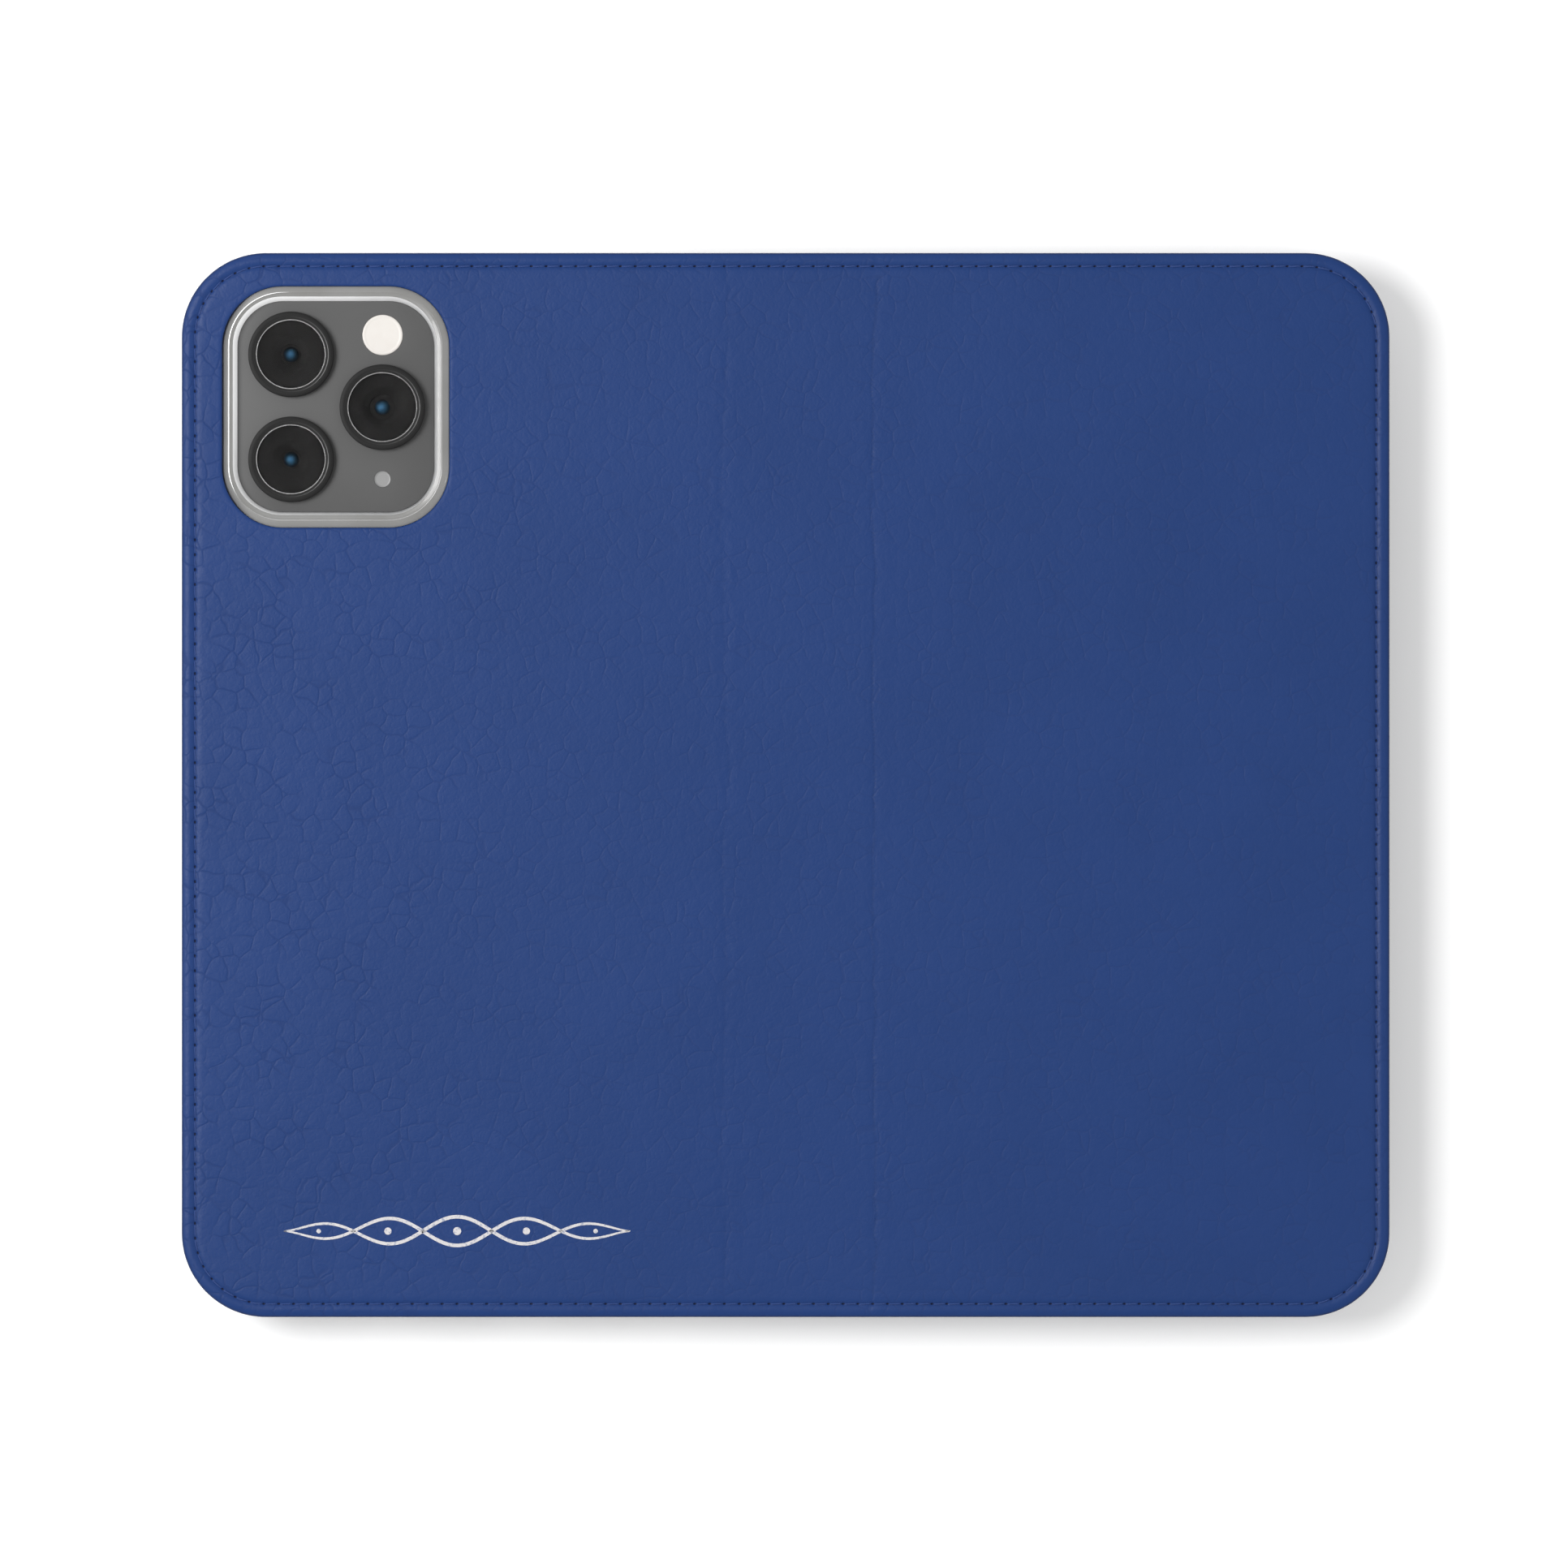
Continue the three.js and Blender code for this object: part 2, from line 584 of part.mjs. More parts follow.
function buildPhone() {
  const group = new THREE.Group();
  const outline = () => phoneOutline(-GLASS_INSET);
  const backGlass = plate(outline(), PHONE_BACK - GLASS_THICKNESS, PHONE_BACK);
  const screenGlass = plate(outline(), SCREEN_ABOVE_RIM, SCREEN_ABOVE_RIM + GLASS_THICKNESS);
  add(group, "phone_body", phoneBody(), "frame");
  add(group, "phone_back_glass", backGlass, "backGlass");
  add(group, "phone_screen_glass", screenGlass, "screen");
  add(group, "camera_plateau", cameraPlateau(), "plateau");
  LENS_PLACES.forEach((place, index) => {
    add(group, `lens_ring_${index + 1}`, lensRing(place), "lensRing");
    add(group, `lens_glass_${index + 1}`, lensGlass(place), "lensGlass");
    add(group, `lens_element_${index + 1}`, lensElement(place), "lensElement");
  });
  const inlayBottom = PLATEAU_TOP - INLAY_DEPTH;
  const flash = disc(...FLASH_PLACE, FLASH_RADIUS, inlayBottom, PLATEAU_TOP);
  const microphone = disc(...MICROPHONE_PLACE, MICROPHONE_RADIUS, inlayBottom, PLATEAU_TOP);
  add(group, "flash_lens", flash, "flash");
  add(group, "microphone_grille", microphone, "microphone");
  return group;
}

function buildButtons() {
  const group = new THREE.Group();
  const right = [PHONE_RIGHT, 1, BUTTON_SIZE_Z, PHONE_MIDDLE];
  const left = [PHONE_LEFT, -1, BUTTON_SIZE_Z, PHONE_MIDDLE];
  const switchMiddle = PHONE_MIDDLE - RING_SWITCH_TRAVEL / 2;
  const ringSwitch = button(RING_SWITCH, PHONE_RIGHT, 1, RING_SWITCH_SIZE_Z, switchMiddle);
  add(group, "side_button", button(SIDE_BUTTON, ...left), "frame");
  add(group, "volume_up_button", button(VOLUME_UP, ...right), "frame");
  add(group, "volume_down_button", button(VOLUME_DOWN, ...right), "frame");
  add(group, "ring_switch", ringSwitch, "frame");
  return group;
}

root.add(buildBackCover(), buildSpine(), buildFrontCover(), buildPhone(), buildButtons());

export default root;
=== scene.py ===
# Looks of a book-style phone wallet case with a phone in it, lying open with its outer side up.
# Lengths are millimetres unless a name says otherwise, and MM turns them into Blender's metres.
import json
import math

import bmesh
import bpy
import numpy as np
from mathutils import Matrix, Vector, noise
from mathutils.geometry import delaunay_2d_cdt


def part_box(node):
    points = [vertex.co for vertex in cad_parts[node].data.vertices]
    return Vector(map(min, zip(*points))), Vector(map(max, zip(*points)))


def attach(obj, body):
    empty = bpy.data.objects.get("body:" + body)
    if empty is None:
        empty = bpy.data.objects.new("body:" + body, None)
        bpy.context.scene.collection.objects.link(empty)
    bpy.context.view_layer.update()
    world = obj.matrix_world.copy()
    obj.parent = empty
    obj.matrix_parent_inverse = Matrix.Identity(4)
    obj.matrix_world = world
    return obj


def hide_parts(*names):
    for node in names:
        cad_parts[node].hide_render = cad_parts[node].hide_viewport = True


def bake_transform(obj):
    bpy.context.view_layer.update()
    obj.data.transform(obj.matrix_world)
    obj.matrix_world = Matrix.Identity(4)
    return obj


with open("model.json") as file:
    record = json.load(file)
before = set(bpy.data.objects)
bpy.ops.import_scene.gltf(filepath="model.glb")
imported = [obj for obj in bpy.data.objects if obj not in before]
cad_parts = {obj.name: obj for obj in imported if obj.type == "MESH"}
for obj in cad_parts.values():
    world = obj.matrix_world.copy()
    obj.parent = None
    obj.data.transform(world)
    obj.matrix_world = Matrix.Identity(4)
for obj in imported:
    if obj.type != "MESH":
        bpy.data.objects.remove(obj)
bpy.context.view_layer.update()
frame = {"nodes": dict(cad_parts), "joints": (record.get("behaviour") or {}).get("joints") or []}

MM = 0.001


def corners(node):
    """Lowest and highest corner of a CAD node."""
    low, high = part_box(node)
    return np.array(low) / MM, np.array(high) / MM


# ---- Places that come from the frame ----

BACK_LOW, BACK_HIGH = corners("back_leather")
LEFT, RIGHT = BACK_LOW[0], corners("front_leather")[1][0]
BOTTOM, TOP = BACK_LOW[1], BACK_HIGH[1]
FACE = BACK_HIGH[2]
COVER_UNDER = BACK_LOW[2]
SPINE_UNDER = corners("spine_leather")[0][2]
COVER_LINING_LOW, COVER_LINING_HIGH = corners("back_lining")
SPINE_LINING_LOW, SPINE_LINING_HIGH = corners("spine_lining")
HINGES = {j["name"]: np.array(j["pos_m"]) / MM for j in frame["joints"] if j["type"] == "hinge"}
BACK_CREASE = HINGES["back_crease"][0]
FRONT_CREASE = HINGES["front_crease"][0]
SWITCH_TRAVEL = next(j["range_m"][1] for j in frame["joints"] if j["name"] == "ring_switch_slide") / MM
SEAM = (BACK_CREASE + FRONT_CREASE) / 2  # the two halves of the cover meet here, in mid-spine
PLATE_LOW, PLATE_HIGH = corners("camera_plateau")
WINDOW_X = (PLATE_LOW[0] + PLATE_HIGH[0]) / 2
WINDOW_Y = (PLATE_LOW[1] + PLATE_HIGH[1]) / 2
PHONE_LOW, PHONE_HIGH = corners("phone_body")

# ---- Sizes of the soft layers ----

COVER_RADIUS = 12.9
LEATHER_THICKNESS = 0.9
BEND = 2.2  # half the width that bends at a crease
HEM_WIDTH = 3.2
WINDOW_HEM = 1.7
LINING_INSET = 0.9
GLUE_LINE = 0.05
WINDOW_WIDTH = 34.8
WINDOW_HEIGHT = 37.0
WINDOW_RADIUS = 9.3

STITCH_INSET = 2.05
STITCH_PITCH = 2.27
STITCH_TILT = 0.12
THREAD_RADIUS = 0.11
HOLE_DEPTH = 0.22
# Columns of the edge within one stitch, as shares of its length, and how deep each is in the hole.
STITCH_COLUMNS = ((0.0, 1.0), (0.06, 0.9), (0.12, 0.1), (0.3, 0.0), (0.7, 0.0), (0.88, 0.1), (0.94, 0.9))
HOLE_SHARE = {1.91: 0.3, 2.05: 1.0, 2.19: 0.3}  # of a hole's depth, at these insets
PAINTED_EDGE_SHADE_WIDTH = 0.42  # of the painted shade line round the very edge


def turned_edge(hem, under, face):
    """An edge in section, from the end of its hem round to the outer face.

    Each point is an inset, a height, and the face of the leather that the height is measured from.
    """
    return [(hem, -LEATHER_THICKNESS, "face")] + [(*p, "under") for p in under] + [(*p, "face") for p in face]


EDGE_UNDER = ((HEM_WIDTH, 0.0), (2.2, 0.0), (0.75, 0.02), (0.3, 0.16), (0.06, 0.45), (0.0, 0.8))
EDGE_FACE = (
    (0.01, -0.62), (0.06, -0.4), (0.13, -0.31), (0.24, -0.24), (0.45, -0.14), (0.8, -0.04),
    (1.15, 0.0), (1.45, -0.03), (1.75, -0.12), (1.91, -0.18), (2.05, -0.2), (2.19, -0.18),
    (2.4, -0.09), (2.7, -0.03), (3.2, 0.0), (4.0, 0.0),
)
EDGE_SECTION = turned_edge(HEM_WIDTH, EDGE_UNDER, EDGE_FACE)

WINDOW_UNDER = ((WINDOW_HEM, 0.0), (0.5, 0.0), (0.12, 0.12), (0.0, 0.4))
WINDOW_FACE = ((0.0, -0.4), (0.03, -0.18), (0.13, -0.04), (0.35, 0.0), (0.7, 0.0))
WINDOW_SECTION = turned_edge(WINDOW_HEM, WINDOW_UNDER, WINDOW_FACE)
WINDOW_MARGIN = WINDOW_FACE[-1][0]


# ---- Mesh building ----

WELD = 0.002  # points closer than this are one


class Build:
    """Points and faces of one piece."""

    def __init__(self):
        self.points = []
        self.faces = []
        self.slots = []
        self.extra = {}

    def add(self, xy, z, **extra):
        """Adds a row of points at heights z and returns where it starts."""
        start = len(self.points)
        xy = np.asarray(xy, float)
        heights = np.broadcast_to(np.asarray(z, float), (len(xy),))
        self.points.extend(np.column_stack([xy, heights]).tolist())
        for name, values in extra.items():
            stored = self.extra.setdefault(name, {})
            stored.update(zip(range(start, start + len(xy)), values))
        return start

    def place(self, points):
        """Adds points that have all three coordinates."""
        start = len(self.points)
        self.points.extend(np.asarray(points, float).tolist())
        return start

    def face(self, indices, slot=0):
        self.faces.append(list(indices))
        self.slots.append(slot)

    def bridge(self, a, b, count, closed=True, slot=0):
        """Quads between two rows of the same count."""
        for i in range(count if closed else count - 1):
            j = (i + 1) % count
            self.face((a + i, a + j, b + j, b + i), slot)

    def cap(self, start, count):
        self.face(range(start, start + count))

    def stack(self, rows, count, closed=True, caps=()):
        """Bridges each row to the next, and closes the rows whose places caps holds."""
        for a, b in zip(rows, rows[1:]):
            self.bridge(a, b, count, closed)
        for k in caps:
            self.cap(rows[k], count)

    def triangles(self, xy, z, triangles, **extra):
        start = self.add(xy, z, **extra)
        for triangle in triangles:
            self.face([start + int(i) for i in triangle])

    def piece(self, name, *materials, sharp_deg=None, rest=False):
        """The object, welded, facing out and smooth. rest stores each point's own place for the materials."""
        mesh = bpy.data.meshes.new(name)
        mesh.from_pydata((np.array(self.points) * MM).tolist(), [], self.faces)
        mesh.polygons.foreach_set("material_index", self.slots)
        for material in materials:
            mesh.materials.append(material)
        for attribute, values in self.extra.items():
            layer = mesh.attributes.new(attribute, "FLOAT", "POINT")
            full = np.zeros(len(self.points), np.float32)
            full[list(values)] = list(values.values())
            layer.data.foreach_set("value", full)
        bm = bmesh.new()
        bm.from_mesh(mesh)
        bmesh.ops.remove_doubles(bm, verts=bm.verts, dist=WELD * MM)
        bmesh.ops.recalc_face_normals(bm, faces=bm.faces)
        bm.to_mesh(mesh)
        bm.free()
        if rest:
            keep_rest(mesh)
        mesh.shade_smooth()
        if sharp_deg is not None:
            mesh.set_sharp_from_angle(angle=math.radians(sharp_deg))
        made = bpy.data.objects.new(name, mesh)
        bpy.context.scene.collection.objects.link(made)
        return made


def keep_rest(mesh):
    """Stores each point's place, in millimetres, so that a pattern stays put when the piece bends."""
    co = np.zeros(len(mesh.vertices) * 3, np.float32)
    mesh.vertices.foreach_get("co", co)
    layer = mesh.attributes.new("rest", "FLOAT_VECTOR", "POINT")
    layer.data.foreach_set("vector", co / MM)


def triangulate(loops, points, keep):
    """Triangles over closed loops and free points, where keep says that a centre is wanted."""
    coords = [Vector(p) for loop in loops for p in loop] + [Vector(p) for p in points]
    edges = []
    start = 0
    for loop in loops:
        count = len(loop)
        edges += [(start + i, start + (i + 1) % count) for i in range(count)]
        start += count
    made = delaunay_2d_cdt(coords, edges, [], 0, 1e-6)
    xy = np.array(made[0])
    triangles = np.array(made[2])
    centre = xy[triangles].mean(axis=1)
    return xy, triangles[keep(centre[:, 0], centre[:, 1])]


def rounded_loop(x, y, width, height, radius, arc=10, along=(16, 16)):
    """Points round a rounded rectangle, counter-clockwise. Loops of the same arc and along match."""
    points = []
    centres = ((1, 1, 0), (-1, 1, 90), (-1, -1, 180), (1, -1, 270))
    for k, (sx, sy, start) in enumerate(centres):
        cx = x + sx * (width / 2 - radius)
        cy = y + sy * (height / 2 - radius)
        for i in range(arc + 1):
            a = math.radians(start + 90 * i / arc)
            points.append((cx + radius * math.cos(a), cy + radius * math.sin(a)))
        nx, ny, following = centres[(k + 1) % 4]
        end_x = x + nx * (width / 2 - radius) + radius * math.cos(math.radians(following))
        end_y = y + ny * (height / 2 - radius) + radius * math.sin(math.radians(following))
        last_x, last_y = points[-1]
        steps = along[k % 2]
        for i in range(1, steps):
            points.append((last_x + (end_x - last_x) * i / steps, last_y + (end_y - last_y) * i / steps))
    return np.array(points)


def circle(x, y, radius, count):
    angles = np.arange(count) * 2 * math.pi / count
    return np.column_stack([x + radius * np.cos(angles), y + radius * np.sin(angles)])


def lathe(build, x, y, section, count=72, slots=None, closed=True):
    """Turns [radius, height] points about a vertical axis. A radius of 0 is a point on the axis."""
    rows = []
    for radius, height in section:
        if radius == 0:
            rows.append((build.add([(x, y)], height), 1))
        else:
            rows.append((build.add(circle(x, y, radius, count), height), count))
    ends = list(zip(rows, rows[1:])) + ([(rows[-1], rows[0])] if closed else [])
    for k, ((a, na), (b, nb)) in enumerate(ends):
        slot = slots[k] if slots else 0
        if na == nb == 1:
            continue
        if na == nb:
            build.bridge(a, b, count, slot=slot)
        else:
            tip, ring = (a, b) if na == 1 else (b, a)
            for i in range(count):
                build.face((tip, ring + i, ring + (i + 1) % count), slot)


def inside(x, y, centre_x, centre_y, width, height, radius):
    """Distance inside a rounded rectangle's outline, negative outside it."""
    qx = np.abs(x - centre_x) - (width / 2 - radius)
    qy = np.abs(y - centre_y) - (height / 2 - radius)
    outside = np.hypot(np.maximum(qx, 0), np.maximum(qy, 0))
    return radius - outside - np.minimum(np.maximum(qx, qy), 0)


def inside_cover(x, y):
    middle_x, middle_y = (LEFT + RIGHT) / 2, (BOTTOM + TOP) / 2
    return inside(x, y, middle_x, middle_y, RIGHT - LEFT, TOP - BOTTOM, COVER_RADIUS)


def inside_window(x, y):
    return inside(x, y, WINDOW_X, WINDOW_Y, WINDOW_WIDTH, WINDOW_HEIGHT, WINDOW_RADIUS)


def window_loop(outset, arc=14, along=(18, 18)):
    width = WINDOW_WIDTH + 2 * outset
    height = WINDOW_HEIGHT + 2 * outset
    return rounded_loop(WINDOW_X, WINDOW_Y, width, height, WINDOW_RADIUS + outset, arc, along)


# ---- The lie of the leather ----

def step(t):
    t = np.clip(t, 0, 1)
    return t * t * (3 - 2 * t)


def bell(distance, width):
    return np.exp(-((distance / width) ** 2))


NOISE_GAIN = 1.8


def wave(values, seed):
    """Smooth noise from -1 to 1 along one coordinate."""
    return np.array([noise.noise(Vector((float(v), seed, 0.5))) for v in np.atleast_1d(values)]) * NOISE_GAIN


def field(x, y, size, seed):
    """Smooth noise from about -1 to 1 over the face, with features of that size."""
    return np.array([noise.noise(Vector((a / size, b / size, seed))) for a, b in zip(x, y)]) * NOISE_GAIN


def spine_share(x):
    """1 on the spine, 0 on the covers, and in between at the creases."""
    after_back = step((x - BACK_CREASE + BEND) / (2 * BEND))
    before_front = 1 - step((x - FRONT_CREASE + BEND) / (2 * BEND))
    return after_back * before_front


def level(x, cover, spine):
    return cover + (spine - cover) * spine_share(x)


GROOVE_WIDTH = 0.15
CREASE_SWELL = 0.014  # the height of the swells beside a crease, and the depth of the dip between them
CREASE_PUCKER = 0.014
WRINKLE_WIDTH = 0.28


class Crease:
    """A fold line that wanders a little about its hinge, with short wrinkles that leave it."""

    def __init__(self, x, seed, depth, wander, wrinkles):
        self.x = x
        self.seed = seed
        self.depth = depth
        self.wander = wander
        rng = np.random.default_rng(seed)
        self.wrinkles = []
        for _ in range(wrinkles):
            y = rng.uniform(BOTTOM + 5, TOP - 5)
            side = rng.choice((-1, 1))
            lean = rng.uniform(-1.0, 1.0)
            length = rng.uniform(1.5, 5.0)
            dent = rng.uniform(0.008, 0.025)
            start = np.array([self.line(y)[0], y])
            bend = start + np.array([side * 0.45, lean * 0.5]) * length
            end = start + np.array([side * rng.uniform(0.5, 0.9), lean * rng.uniform(0.8, 1.6)]) * length
            self.wrinkles.append((start, bend, end, dent))

    def line(self, y):
        """Where the fold line is across the cover, at height y up it."""
        y = np.atleast_1d(y)
        slow = wave(y / 17, self.seed)
        quick = wave(y / 3.6, self.seed + 7)
        return self.x + self.wander * (0.75 * slow + 0.3 * quick)

    def height(self, x, y):
        across = x - self.line(y)
        strength = 0.45 + 0.55 * np.clip(wave(y / 7, self.seed + 3), -1, 1)
        groove = -self.depth * strength * bell(across, GROOVE_WIDTH)
        swell = CREASE_SWELL * (bell(across - 1.3, 0.9) + bell(across + 1.4, 0.9))
        valley = -CREASE_SWELL * bell(across, 2.0)
        pucker = CREASE_PUCKER * field(x, y * 0.6, 0.8, self.seed + 11) * bell(across, 2.6)
        total = groove + swell + valley + pucker
        for start, bend, end, dent in self.wrinkles:
            near = (y > min(start[1], end[1]) - 2) & (y < max(start[1], end[1]) + 2)
            if near.any():
                first = segment_distance(x[near], y[near], start, bend)
                second = segment_distance(x[near], y[near], bend, end)
                total[near] -= dent * bell(np.minimum(first, second), WRINKLE_WIDTH)
        return total


def segment_distance(x, y, a, b):
    d = b - a
    t = np.clip(((x - a[0]) * d[0] + (y - a[1]) * d[1]) / (d @ d), 0, 1)
    return np.hypot(x - a[0] - t * d[0], y - a[1] - t * d[1])


CREASES = {
    "back": Crease(BACK_CREASE, seed=21, depth=0.018, wander=0.6, wrinkles=30),
    "front": Crease(FRONT_CREASE, seed=5, depth=0.048, wander=0.6, wrinkles=46),
}
CREASE_REACH = 7
CREASE_SHADE = 5.0  # how much painted shade darkens a crease, for its depth
CREASE_SHADE_WIDTH = 0.16
FACE_UNEVENNESS = 0.018
STIFFENER_END = 4.7  # from the cover's top or bottom edge to the end of the spine's stiffener
STIFFENER_DIP = 0.05


def relief(x, y):
    """Height of the outer face above its plane, which dies away towards the edge and the window."""
    x = np.asarray(x, float)
    y = np.asarray(y, float)
    total = FACE_UNEVENNESS * field(x, y, 24, 3.0)
    for crease in CREASES.values():
        near = np.abs(x - crease.x) < CREASE_REACH
        if near.any():
            total[near] += crease.height(x[near], y[near])
    past_end = step((np.abs(y) - (TOP - STIFFENER_END - 0.5)) / 1.0)
    total -= STIFFENER_DIP * past_end * spine_share(x)
    return total * step(inside_cover(x, y) / 1.2) * step((-WINDOW_MARGIN - inside_window(x, y)) / 1.5)


# ---- The two halves of the cover ----

class Walk:
    """The way round three sides of a rounded panel, with distances on its stitch line.

    It leaves the open side at x, half the panel's height from its middle line, and comes back to
    it on the other side of that line. signs say which way it goes along X and on which side of
    the middle line it starts.
    """

    def __init__(self, x, y, signs, reach, half, radius, inset, pitch):
        self.origin = (x, y)
        self.signs = signs
        self.half = half
        self.radius = radius
        self.inset = inset
        self.run = reach - radius
        self.turn = radius - inset
        self.corner = math.pi / 2 * self.turn
        self.length = 2 * (self.run + self.corner + half - radius)
        self.stitches = round(self.length / pitch)
        self.pitch = self.length / self.stitches

    def first_half(self, s):
        """Place from the origin and direction into the panel, for a walk along +X that starts above."""
        r = self.radius
        if s <= self.run:
            return (s, self.half), (0.0, -1.0)
        if s <= self.run + self.corner:
            a = (s - self.run) / self.turn
            return (self.run + r * math.sin(a), self.half - r + r * math.cos(a)), (-math.sin(a), -math.cos(a))
        return (self.run + r, self.half - r - (s - self.run - self.corner)), (-1.0, 0.0)

    def at(self, distance):
        """Place on the edge and the direction into the panel."""
        mirrored = distance > self.length / 2
        place, inward = self.first_half(self.length - distance if mirrored else distance)
        sign_x, sign_y = self.signs
        if mirrored:
            sign_y = -sign_y
        x, y = self.origin
        return (x + sign_x * place[0], y + sign_y * place[1]), (sign_x * inward[0], sign_y * inward[1])

    def columns(self, shares):
        """Places and directions at these shares of every stitch, and at the last stitch's end."""
        distances = [(k + share) * self.pitch for k in range(self.stitches) for share in shares]
        distances.append(self.length)
        found = [self.at(d) for d in distances]
        return np.array([f[0] for f in found]), np.array([f[1] for f in found])


def cover_walk(side):
    """The way round one half of the cover, from the seam to the seam."""
    reach = SEAM - LEFT if side == "back" else RIGHT - SEAM
    signs = (-1, 1) if side == "back" else (1, -1)
    return Walk(SEAM, 0, signs, reach, (TOP - BOTTOM) / 2, COVER_RADIUS, STITCH_INSET, STITCH_PITCH)


def seam_points(start, end, spacing):
    """Places along the seam between two points on it, without the points themselves."""
    count = max(2, round(abs(end[1] - start[1]) / spacing))
    share = np.arange(1, count) / count
    return np.column_stack([np.full(count - 1, SEAM), start[1] + (end[1] - start[1]) * share])


CREASE_COLUMNS = (0.08, 0.2, 0.34, 0.52, 0.75, 1.05, 1.4, 1.8, 2.2, 2.7, 3.3, 4.1, 5.2)


def face_points(side, margin, rows, spacing, strip=CREASE_COLUMNS):
    """Free points over one half's face: close together at its crease and open elsewhere."""
    crease = CREASES[side]
    ys = np.linspace(BOTTOM + margin, TOP - margin, rows)
    line = crease.line(ys)
    points = [
        np.column_stack([line + sign * offset, ys + 0.3 * sign * (k % 2)])
        for k, offset in enumerate(strip)
        for sign in (-1, 1)
    ]
    points.append(np.column_stack([line, ys]))
    rng = np.random.default_rng(8)
    low, high = (LEFT, SEAM) if side == "back" else (SEAM, RIGHT)
    for k, x in enumerate(np.arange(low + spacing, high - 0.5 * spacing, spacing)):
        column = np.arange(BOTTOM + spacing * (1 + 0.5 * (k % 2)), TOP - spacing, spacing)
        jitter = rng.uniform(-0.25, 0.25, (len(column), 2)) * spacing
        points.append(np.column_stack([np.full(len(column), x), column]) + jitter)
    xy = np.vstack(points)
    x, y = xy.T
    free = np.arange(len(xy)) >= (2 * len(strip) + 1) * rows
    crowded = free & (np.abs(x - crease.x) < strip[-1] + 0.4 * spacing)
    off_seam = (x > low + 0.4 * spacing) if side == "front" else (x < high - 0.4 * spacing)
    good = (inside_cover(x, y) > margin) & ~crowded & off_seam
    good &= inside_window(x, y) < -(margin - 2.6)
    return xy[good]


def leather_half(side):
    """One half of the cover's leather: outer face, turned edge, hem and the leather's inner face."""
    walk = cover_walk(side)
    places, inward = walk.columns([share for share, _ in STITCH_COLUMNS])
    in_hole = np.array([depth for _, depth in STITCH_COLUMNS] * walk.stitches + [1.0])
    build = Build()
    edges = [places + inward * inset for inset, _, _ in EDGE_SECTION]
    rows = []
    for xy, (inset, height, base) in zip(edges, EDGE_SECTION):
        pit = in_hole * HOLE_SHARE.get(inset, 0)
        if base == "face":
            z = FACE + height + relief(*xy.T) * (height > -LEATHER_THICKNESS) - HOLE_DEPTH * pit
        else:
            z = level(xy[:, 0], COVER_UNDER, SPINE_UNDER) + height
        # rim holds painted shade: a dark line round the very edge.
        rim = np.full(len(xy), float(step(1 - inset / PAINTED_EDGE_SHADE_WIDTH)))
        rows.append(build.add(xy, z, pit=pit, rim=rim))
    build.stack(rows, len(places), closed=False)
    windows = []
    if side == "back":
        windows = [window_loop(outset) for outset, _, _ in WINDOW_SECTION]
        bases = {"face": FACE, "under": COVER_UNDER}
        heights = [bases[base] + height for _, height, base in WINDOW_SECTION]
        build.stack([build.add(loop, z) for loop, z in zip(windows, heights)], len(windows[0]))
    loop = np.vstack([edges[-1], seam_points(edges[-1][-1], edges[-1][0], 2.6)])
    points = face_points(side, 4.6, 250, 2.6)
    loops = [loop] + windows[-1:]
    xy, triangles = triangulate(loops, points, lambda x, y: inside_window(x, y) < -WINDOW_MARGIN)
    x, y = xy.T
    crease = CREASES[side]
    # Painted shade along the crease line, stored in rim.
    wear_and_crease_shade = crease.depth * CREASE_SHADE * bell(x - crease.line(y), CREASE_SHADE_WIDTH)
    build.triangles(xy, FACE + relief(x, y), triangles, rim=wear_and_crease_shade)
    loop = np.vstack([edges[0], seam_points(edges[0][-1], edges[0][0], 12)])
    points = face_points(side, 4.6, 14, 12, strip=(0.5, 1.1, 1.7, 2.3))
    loops = [loop] + windows[:1]
    xy, triangles = triangulate(loops, points, lambda x, y: inside_window(x, y) < -WINDOW_HEM)
    build.triangles(xy, FACE - LEATHER_THICKNESS, triangles)
    return build


def bend_with_crease(piece):
    """Bakes a piece's placement into its points."""
    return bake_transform(piece)


LINING_COLUMNS = ((0.0, 1.0), (0.15, 0.0), (0.5, 0.0), (0.85, 0.0))
# The lining's lower side in section: inset, and how far it lies above the lining's lowest level.
LINING_LOWER = (
    (LINING_INSET, 0.12), (0.98, 0.03), (1.2, 0.0), (1.8, 0.02), (STITCH_INSET, 0.08), (2.3, 0.02), (2.8, 0.0),
)
NEEDLE_DEPTH = 0.1


def lining_top(x):
    return level(x, COVER_LINING_HIGH[2], SPINE_LINING_HIGH[2])


def lining_bottom(x):
    return level(x, COVER_LINING_LOW[2], SPINE_LINING_LOW[2])


